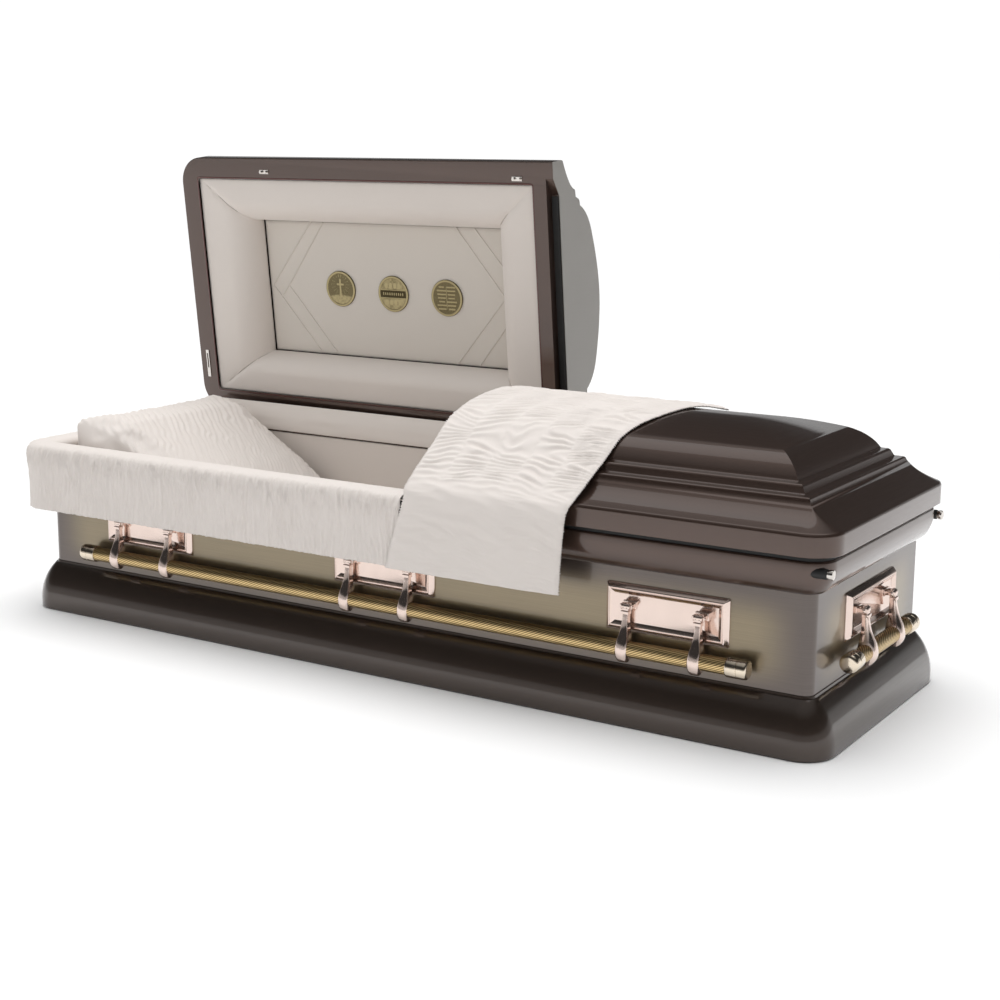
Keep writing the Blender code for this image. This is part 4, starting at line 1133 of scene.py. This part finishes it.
def bar_mesh(half):
    """The turned tube between its caps, with the angle of its spiral lines kept as an attribute."""
    reach = half - 0.044
    steps, columns = 48, int(reach * 2 / 0.01)
    points, spiral = [], []
    for column in range(columns + 1):
        along = -reach + 2 * reach * column / columns
        for step in range(steps):
            angle = 2 * math.pi * step / steps
            points.append((along, -BAR_OUT + 0.0165 * math.cos(angle), -BAR_DROP + 0.0165 * math.sin(angle)))
    faces = []
    for column in range(columns):
        for step in range(steps):
            after = (step + 1) % steps
            faces.append((column * steps + step, column * steps + after,
                          (column + 1) * steps + after, (column + 1) * steps + step))
    mesh = bpy.data.meshes.new("bar")
    mesh.from_pydata(points, [], faces)
    spiral = []
    for face in faces:
        for corner in face:
            column, step = divmod(corner, steps)
            if step == 0 and any(other % steps == steps - 1 for other in face):
                step = steps
            along = -reach + 2 * reach * column / columns
            spiral.append(18 * 2 * math.pi * step / steps + along * 2 * math.pi * 95)
    attribute = mesh.attributes.new("spiral", "FLOAT", "CORNER")
    attribute.data.foreach_set("value", np.array(spiral, dtype=np.float32))
    mesh.shade_smooth()
    return mesh


def cap_mesh(half):
    """A turned cap on each end, with a groove and a rounded end."""
    end = [(0.0, half), (0.0120, half), (0.0165, half - 0.0008), (0.0190, half - 0.0030), (0.0198, half - 0.0060),
           (0.0200, half - 0.0100), (0.0200, half - 0.0195), (0.0193, half - 0.0202), (0.0188, half - 0.0212),
           (0.0193, half - 0.0222), (0.0200, half - 0.0230), (0.0200, half - 0.0420), (0.0194, half - 0.0440),
           (0.0180, half - 0.0450), (0.0, half - 0.0450)]
    meshes = []
    for side in (-1, 1):
        mesh = turned_mesh("cap", [(radius, side * along) for radius, along in end], 48)
        mesh.transform(Matrix.Translation((0.0, -BAR_OUT, -BAR_DROP)))
        meshes.append(mesh)
    return meshes


def hardware():
    out_y = WIDTH / 2 - BODY_INSET + AXIS_OFFSET
    out_x = LENGTH / 2 - BODY_INSET + AXIS_OFFSET
    pitch = (-SIDE_PITCH, 0.0, SIDE_PITCH)
    sides = (("front", (SIDE_CENTRE, -out_y), 0, 0.880, pitch), ("back", (SIDE_CENTRE, out_y), 180, 0.880, pitch),
             ("foot_end", (out_x, 0.0), 90, 0.185, (0.0,)), ("head_end", (-out_x, 0.0), -90, 0.185, (0.0,)))
    plate, arm = joined("plate", plate_meshes()), joined("arm", arm_meshes())
    for side, centre, turn, half, offsets in sides:
        place = Matrix.Translation((*centre, AXIS_HEIGHT)) @ Matrix.Rotation(math.radians(turn), 4, "Z")
        body = f"bar_{side}"
        tube = bar_mesh(half)
        tube.transform(place)
        finish_piece(link(f"bar_tube_{side}", tube, BAR_GOLD), body, "bar_gold", f"bar_{side}")
        caps = joined("caps", cap_mesh(half))
        caps.transform(place)
        finish_piece(link(f"bar_caps_{side}", caps, CHAMPAGNE), body, "bar_gold")
        number = 0
        for index, offset in enumerate(offsets, start=1):
            mesh = plate.copy()
            mesh.transform(place @ Matrix.Translation((offset, 0.0, 0.0)))
            obj = link(f"plate_{side}_{index}", mesh, ROSE_GOLD, ROSE_SPECKLED)
            finish_piece(obj, "casket", "rose_gold", f"escutcheon_{side}_{index}")
            for arm_side in (-1, 1):
                number += 1
                mesh = arm.copy()
                mesh.transform(place @ Matrix.Translation((offset + arm_side * ARM_SPACING, 0.0, 0.0)))
                obj = link(f"swing_arm_{side}_{number}", mesh, ROSE_GOLD)
                finish_piece(obj, body, "rose_gold", f"arm_{side}_{number}")


# Soft goods


def throw():
    """A shirred cloth over the foot lid and down its front, gathered across in bands."""
    rows = [(-0.3665, 0.2585, 0.065, 0.490), (-0.3665, 0.330, 0.085, 0.495), (-0.3660, 0.405, 0.1085, 0.502),
            (-0.3600, 0.432, 0.1085, 0.506), (-0.3450, 0.447, 0.1085, 0.510), (-0.2740, 0.4985, 0.1085, 0.520),
            (-0.2450, 0.5175, 0.1085, 0.524), (-0.2180, 0.5390, 0.1085, 0.528), (-0.1880, 0.5600, 0.1085, 0.533),
            (-0.1400, 0.5780, 0.1085, 0.545), (-0.0875, 0.5900, 0.1085, 0.562), (-0.0100, 0.5995, 0.1085, 0.585),
            (0.0600, 0.5965, 0.1085, 0.600), (0.1500, 0.5790, 0.1085, 0.615)]
    line, length = even_line(rows, 280)
    share = np.linspace(0, 1, 150)
    y, z, left, right = line.T
    x = left[:, None] + (right - left)[:, None] * share[None]
    base = np.stack([x, np.repeat(y[:, None], 150, 1), np.repeat(z[:, None], 150, 1)], axis=2)
    down = np.linspace(0, length, 280)[:, None] + 0.0 * x
    width = (right - left)[:, None] * share[None]
    hang = 1 - step_between(0.17, 0.25, down)
    bands = [0.0, 0.20, 0.40, 0.60, 0.80, 1.0]
    wobble = 0.018 * wander(down / 0.05, 0 * down + 3, 21) + 0.010 * wander(down / 0.015, 0 * down + 9, 22)
    height = np.zeros_like(x)
    pinch = np.zeros_like(x)
    place = share[None] + wobble
    for number, (low, high) in enumerate(zip(bands, bands[1:])):
        inside = ((place >= low) if number else (place > -9)) & ((place < high) if number < 4 else (place < 9))
        puff = gathers(width + 0.13 * number, down + 0.35 * width * wander(down / 0.10, 0 * down + number, 31),
                       0.0150, 0.075, 100 + 7 * number)
        t = np.clip((place - low) / (high - low), 0, 1)
        arch = np.sin(np.pi * t) ** 0.6
        height = np.where(inside, puff * (0.25 + 0.75 * arch), height)
        pinch = np.where(inside, arch, pinch)
    soft = gathers(width, down + 0.25 * width, 0.0290, 0.16, 300)
    hung = 0.55 * soft + 0.30 * height
    relief = height * (1 - hang) + hung * hang
    fine = gathers(width, down, 0.0060, 0.030, 400)
    edge = np.minimum(share[None], 1 - share[None]) * (right - left)[:, None]
    near_edge = np.exp(-edge / 0.007)
    relief = relief * (1 - 0.7 * near_edge) + 0.45 * fine * near_edge
    roll = 0.0035 * np.exp(-(edge / 0.006) ** 2)
    normals = -grid_normals(base)
    if normals[0, 0, 1] > 0:
        normals = -normals
    drop = 0.0030 * hang * wander(width / 0.11, down / 0.10, 77)
    points = base + normals * (0.0038 + 0.0062 * relief + drop - roll)[..., None]
    points[..., 0] += near_edge * 0.0020 * np.sign(share[None] - 0.5) * np.sin(2 * np.pi * down / 0.0062)
    mesh = grid_mesh("throw_cloth", points, 0.0)
    obj = link("throw_cloth", mesh, CREPE)
    if sum(polygon.normal.z * polygon.area for polygon in mesh.polygons) < 0:
        mesh.flip_normals()
    wall = obj.modifiers.new("wall", "SOLIDIFY")
    wall.thickness = 0.0022
    wall.offset = -1.0
    applied(obj)
    finish_piece(obj, "foot_lid", "crepe_cloth", "throw")


def apron():
    """A crepe band over the rim: smooth on top, in fine upright pleats where it hangs outside."""
    corner = 0.068
    profile = [(0.0590, 0.3900), (0.0588, 0.4010), (0.0560, 0.4090), (0.0470, 0.4155), (0.0300, 0.4180),
               (0.0100, 0.4182), (-0.0040, 0.4150), (-0.0120, 0.4080), (-0.0160, 0.3960), (-0.0172, 0.3750),
               (-0.0165, 0.3400), (-0.0150, 0.3000), (-0.0160, 0.2586)]
    line, fall = even_line(profile, 84)
    inset, z = line.T
    reach_x, reach_y = LENGTH / 2 - corner, WIDTH / 2 - corner
    front, arc, end = reach_x + 0.098, 0.25 * 2 * math.pi * corner, reach_y + 0.260
    total = front + arc + end
    columns = 860
    run = np.linspace(0, total, columns)
    x, y, nx, ny = np.zeros(columns), np.zeros(columns), np.zeros(columns), np.zeros(columns)
    for index, distance in enumerate(run):
        if distance < front:
            x[index], y[index], nx[index], ny[index] = 0.098 - distance, -WIDTH / 2, 0.0, -1.0
        elif distance < front + arc:
            angle = -math.pi / 2 - (distance - front) / corner
            nx[index], ny[index] = math.cos(angle), math.sin(angle)
            x[index] = -reach_x + corner * nx[index]
            y[index] = -reach_y + corner * ny[index]
        else:
            x[index], y[index], nx[index], ny[index] = -LENGTH / 2, -reach_y + (distance - front - arc), -1.0, 0.0
    inward = inset[:, None]
    squeeze = np.minimum(inward, 0.066)
    base = np.stack([x[None] - nx[None] * squeeze, y[None] - ny[None] * squeeze,
                     np.repeat(z[:, None], columns, 1)], axis=2)
    down = np.linspace(0, fall, 84)[:, None] + 0 * run[None]
    along = run[None] + 0 * down
    lean = 0.010 * wander(along / 0.09, down / 0.08, 12)
    coarse = gathers(down, along + lean, 0.0125, 0.075, 500)
    fine = gathers(down, along + 0.5 * lean, 0.0068, 0.030, 540)
    outside = step_between(0.075, 0.100, down)
    top_edge = step_between(0.070, 0.095, down) * (1 - step_between(0.115, 0.155, down))
    relief = outside * (0.62 * coarse + 0.38 * fine) + 0.55 * top_edge * fine
    relief = relief + (1 - outside) * 0.10 * fine
    hem = np.exp(-(fall - down) / 0.006)
    billow = 0.0022 * outside * wander(along / 0.13, down / 0.09, 91)
    normals = grid_normals(base)
    if normals[60, 10, 1] > 0:
        normals = -normals
    lift = 0.0052 * relief + billow + 0.0012 * hem
    points = base + normals * lift[..., None]
    points[..., 2] += hem * 0.0016 * np.abs(wander(along / 0.012, 0 * along, 55))
    mesh = grid_mesh("apron_cloth", points)
    obj = link("apron_cloth", mesh, CREPE)
    if mesh.polygons[70 * 859 + 10].normal.y > 0:
        mesh.flip_normals()
    wall = obj.modifiers.new("wall", "SOLIDIFY")
    wall.thickness = 0.0030
    wall.offset = -1.0
    applied(obj)
    finish_piece(obj, "casket", "crepe_cloth", "apron")
    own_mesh(obj)


def pillow():
    """A wedge pillow: shirred across its slope and smooth on its side gussets."""
    rest = 0.2113
    wedge = [(-0.974, rest), (-0.512, rest), (-0.540, 0.262), (-0.632, 0.334), (-0.729, 0.394), (-0.832, 0.457),
             (-0.935, 0.477), (-0.974, 0.470)]
    mesh = prism_mesh("pillow_cover", wedge, -0.256, 0.256, axis="Y")
    obj = link("pillow_cover", mesh, CREPE)
    bevel = obj.modifiers.new("soft", "BEVEL")
    bevel.width = 0.016
    bevel.segments = 4
    applied(obj)
    remeshed(obj, 0.007)
    inflate(obj, 4.0, 0.010)
    smoothing = obj.modifiers.new("settle", "SMOOTH")
    smoothing.iterations = 6
    applied(obj)
    finer = obj.modifiers.new("finer", "SUBSURF")
    finer.levels = 1
    finer.render_levels = 1
    applied(obj)
    mesh = obj.data
    count = len(mesh.vertices)
    points, normals = np.zeros(count * 3), np.zeros(count * 3)
    mesh.vertices.foreach_get("co", points)
    mesh.vertices.foreach_get("normal", normals)
    points, normals = points.reshape(-1, 3), normals.reshape(-1, 3)
    slope = -points[:, 0]
    across = points[:, 1]
    lean = across * 0.55 + slope * 0.85
    cross = across * 0.85 - slope * 0.55
    left_coarse = gathers(lean, cross, 0.0165, 0.060, 700)
    right_fine = gathers(lean, cross, 0.0095, 0.040, 740)
    where = step_between(0.60, 0.86, slope)
    relief = left_coarse * where + 0.7 * right_fine * (1 - where)
    top = step_between(0.35, 0.75, normals[:, 2]) * step_between(0.262, 0.245, np.abs(across))
    foot = step_between(0.216, 0.235, points[:, 2])
    points = points + normals * ((0.0052 * relief - 0.002) * top * foot)[:, None]
    points[:, 2] = np.maximum(points[:, 2], rest)
    mesh.vertices.foreach_set("co", points.ravel())
    mesh.update()
    mesh.shade_smooth()
    finish_piece(obj, "casket", "crepe_cloth", "pillow")
    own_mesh(obj)


def mattress():
    """The bed: a long cushion with its top pulled down in rows of tufts."""
    low, high = (-0.968, -0.261, 0.0020), (0.968, 0.261, 0.200)
    obj = link("mattress_cover", box_mesh("mattress_cover", low, high, 0.020, 3), LINING)
    remeshed(obj, 0.012)
    inflate(obj, 3.0, 0.008)
    mesh = obj.data
    count = len(mesh.vertices)
    points = np.zeros(count * 3)
    mesh.vertices.foreach_get("co", points)
    points = points.reshape(-1, 3)
    top = step_between(0.150, 0.190, points[:, 2])
    pull = np.zeros(count)
    for x in np.arange(-0.80, 0.81, 0.20):
        for y in (-0.13, 0.0, 0.13):
            pull += np.exp(-((points[:, 0] - x) ** 2 + (points[:, 1] - y) ** 2) / 0.030 ** 2)
    points[:, 2] -= 0.010 * pull * top
    points[:, 2] = np.clip(points[:, 2], 0.0019, 0.2095)
    points[:, 1] = np.clip(points[:, 1], -0.2675, 0.2675)
    mesh.vertices.foreach_set("co", points.ravel())
    mesh.update()
    mesh.shade_smooth()
    finish_piece(obj, "casket", "lining_cloth", "mattress")


def linings():
    """The cloth on the inside walls, the strip across the hinge side, and the board in the foot lid."""
    near, far, low, high = 0.0585, 0.0655, 0.0505, 0.3845
    count = 60
    heights = np.linspace(low, high, count)
    profile = [(near, h) for h in heights] + [(far, h) for h in heights[::-1]]
    rings = []
    for index, (inset, height) in enumerate(profile):
        ring = plan_ring(inset, height, 6)
        rings.append(ring)
    mesh = loft_mesh("wall_lining", rings, closed=True)
    smooth(mesh, 50.0)
    obj = link("wall_lining", mesh, LINING)
    finish_piece(obj, "casket", "lining_cloth", "side_lining")

    section = [(0.2745, 0.3900), (0.2765, 0.4050), (0.2830, 0.4250), (0.2940, 0.4440), (0.3055, 0.4560)]
    line, length = even_line(section, 30)
    xs = np.linspace(-0.984, 0.094, 240)
    y = np.repeat(line[:, 0][:, None], 240, 1)
    z = np.repeat(line[:, 1][:, None], 240, 1)
    x = np.repeat(xs[None], 30, 0)
    down = np.linspace(0, 1, 30)[:, None]
    y = y - 0.0016 * np.sin(np.pi * down) * (1 + wander(x / 0.10, 4 * down + 0 * x, 17))
    mesh = grid_mesh("hinge_strip", np.stack([x, y, z], axis=2))
    obj = link("hinge_strip", mesh, LINING)
    if mesh.polygons[0].normal.y > 0:
        mesh.flip_normals()
    wall = obj.modifiers.new("wall", "SOLIDIFY")
    wall.thickness = 0.003
    wall.offset = -1.0
    applied(obj)
    finish_piece(obj, "casket", "lining_cloth", "hinge_side_lining")
    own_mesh(obj)

    board = box_mesh("foot_lid_lining", (0.1152, -0.2818, 0.3994), (0.9888, 0.2818, 0.4048), 0.0018, 3)
    obj = link("foot_lid_lining", board, LINING)
    finish_piece(obj, "foot_lid", "lining_cloth", "foot_lid_panel")


# Solids that keep their shape


def dress_solids():
    finishes = {
        "bottom_pan": BRONZE, "hinge_rail": LID_PAINT, "head_lid_hinge_leaf": LID_PAINT,
        "foot_lid_hinge_leaf": LID_PAINT, "head_lid_header_rail": LID_PAINT, "head_lid_gasket": RUBBER,
        "catch_studs_left": CHROME, "catch_studs_right": CHROME, "lid_latch": CHROME}
    for name, material in finishes.items():
        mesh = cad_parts[name].data
        mesh.materials.clear()
        mesh.materials.append(material)


# Studio


def camera():
    azimuth, elevation, roll = math.radians(32.4656), math.radians(11.5104), math.radians(0.2897)
    forward = Vector((-math.sin(azimuth) * math.cos(elevation), math.cos(azimuth) * math.cos(elevation),
                      -math.sin(elevation)))
    level = Vector((math.cos(azimuth), math.sin(azimuth), 0.0))
    upward = level.cross(forward)
    right = math.cos(roll) * level + math.sin(roll) * upward
    up = right.cross(forward)
    data = bpy.data.cameras.new("camera")
    data.sensor_width = 36.0
    data.lens = 1730.53 / 1000 * 36.0
    data.shift_x, data.shift_y = 0.0166, -0.0078
    obj = bpy.data.objects.new("camera", data)
    SCENE.collection.objects.link(obj)
    place = Matrix((right, up, -forward)).transposed().to_4x4()
    place.translation = Vector((2.1641, -3.2791, 1.1521))
    obj.matrix_world = place
    SCENE.camera = obj


def soft_light(name, location, target, size, power, glossy=True, colour=(1.0, 1.0, 1.0)):
    data = bpy.data.lights.new(name, "AREA")
    data.shape = "RECTANGLE"
    data.size, data.size_y = size
    data.energy = power
    data.color = colour
    obj = bpy.data.objects.new(name, data)
    SCENE.collection.objects.link(obj)
    obj.location = location
    obj.rotation_euler = (Vector(target) - Vector(location)).to_track_quat("-Z", "Y").to_euler()
    obj.visible_glossy = glossy
    return obj


def studio():
    material, tree, shader = new_material("studio_floor")
    mottle = node(tree, "ShaderNodeTexNoise", {"Vector": position(tree), "Scale": 3.0})
    tree.links.new(mixed(tree, mottle.outputs["Fac"], rgb((0.93, 0.93, 0.93)), rgb((0.95, 0.95, 0.95))),
                   shader.inputs["Base Color"])
    set_inputs(shader, Roughness=1.0, Specular_IOR_Level=0.0)
    mesh = bpy.data.meshes.new("floor")
    reach = 60.0
    mesh.from_pydata([(-reach, -reach, 0), (reach, -reach, 0), (reach, reach, 0), (-reach, reach, 0)], [],
                     [(0, 1, 2, 3)])
    floor = link("floor", mesh, material)

    world = bpy.data.worlds.new("studio")
    SCENE.world = world
    world.use_nodes = True
    tree = world.node_tree
    tree.nodes.clear()
    direction = node(tree, "ShaderNodeTexCoord").outputs["Generated"]
    axes = node(tree, "ShaderNodeSeparateXYZ", {0: direction})
    ramp = node(tree, "ShaderNodeValToRGB", {"Fac": axes.outputs[2]})
    stops = ((0.0, 0.50), (0.16, 0.42), (0.22, 0.035), (0.62, 0.035), (0.80, 0.30), (1.0, 0.42))
    ramp.color_ramp.elements[0].position = stops[0][0]
    ramp.color_ramp.elements[0].color = rgb((stops[0][1],) * 3)
    ramp.color_ramp.elements[1].position = stops[-1][0]
    ramp.color_ramp.elements[1].color = rgb((stops[-1][1],) * 3)
    for place, value in stops[1:-1]:
        ramp.color_ramp.elements.new(place).color = rgb((value,) * 3)
    path = node(tree, "ShaderNodeLightPath")
    mirrored = node(tree, "ShaderNodeBackground", {"Color": ramp.outputs["Color"], "Strength": 1.0})
    ambient = node(tree, "ShaderNodeBackground", {"Color": rgb((1.0, 1.0, 1.0)), "Strength": 0.55})
    backdrop = node(tree, "ShaderNodeBackground", {"Color": rgb((1.0, 1.0, 1.0)), "Strength": 1.05})
    lit = node(tree, "ShaderNodeMixShader", {
        0: path.outputs["Is Glossy Ray"], 1: ambient.outputs[0], 2: mirrored.outputs[0]})
    both = node(tree, "ShaderNodeMixShader", {
        0: path.outputs["Is Camera Ray"], 1: lit.outputs[0], 2: backdrop.outputs[0]})
    out = tree.nodes.new("ShaderNodeOutputWorld")
    tree.links.new(both.outputs[0], out.inputs["Surface"])

    sun = bpy.data.lights.new("sky_panel", "SUN")
    sun.energy = 1.75
    sun.angle = math.radians(55)
    lamp = bpy.data.objects.new("sky_panel", sun)
    SCENE.collection.objects.link(lamp)
    lamp.rotation_euler = Vector((-0.10, 0.12, 1.0)).to_track_quat("Z", "Y").to_euler()
    lamp.visible_glossy = False
    soft_light("overhead", (0.0, 0.6, 4.5), (0.0, 0.0, 0.3), (6.0, 2.2), 30.0)
    SCENE.view_settings.view_transform = "Standard"


base_moulding()
body_panels()
top_moulding()
rim_gasket()
lock_pins()
lids()
hinge_screws()
cap_roll()
cap_panel()
medallions()
hardware()
throw()
apron()
pillow()
mattress()
linings()
dress_solids()
camera()
studio()
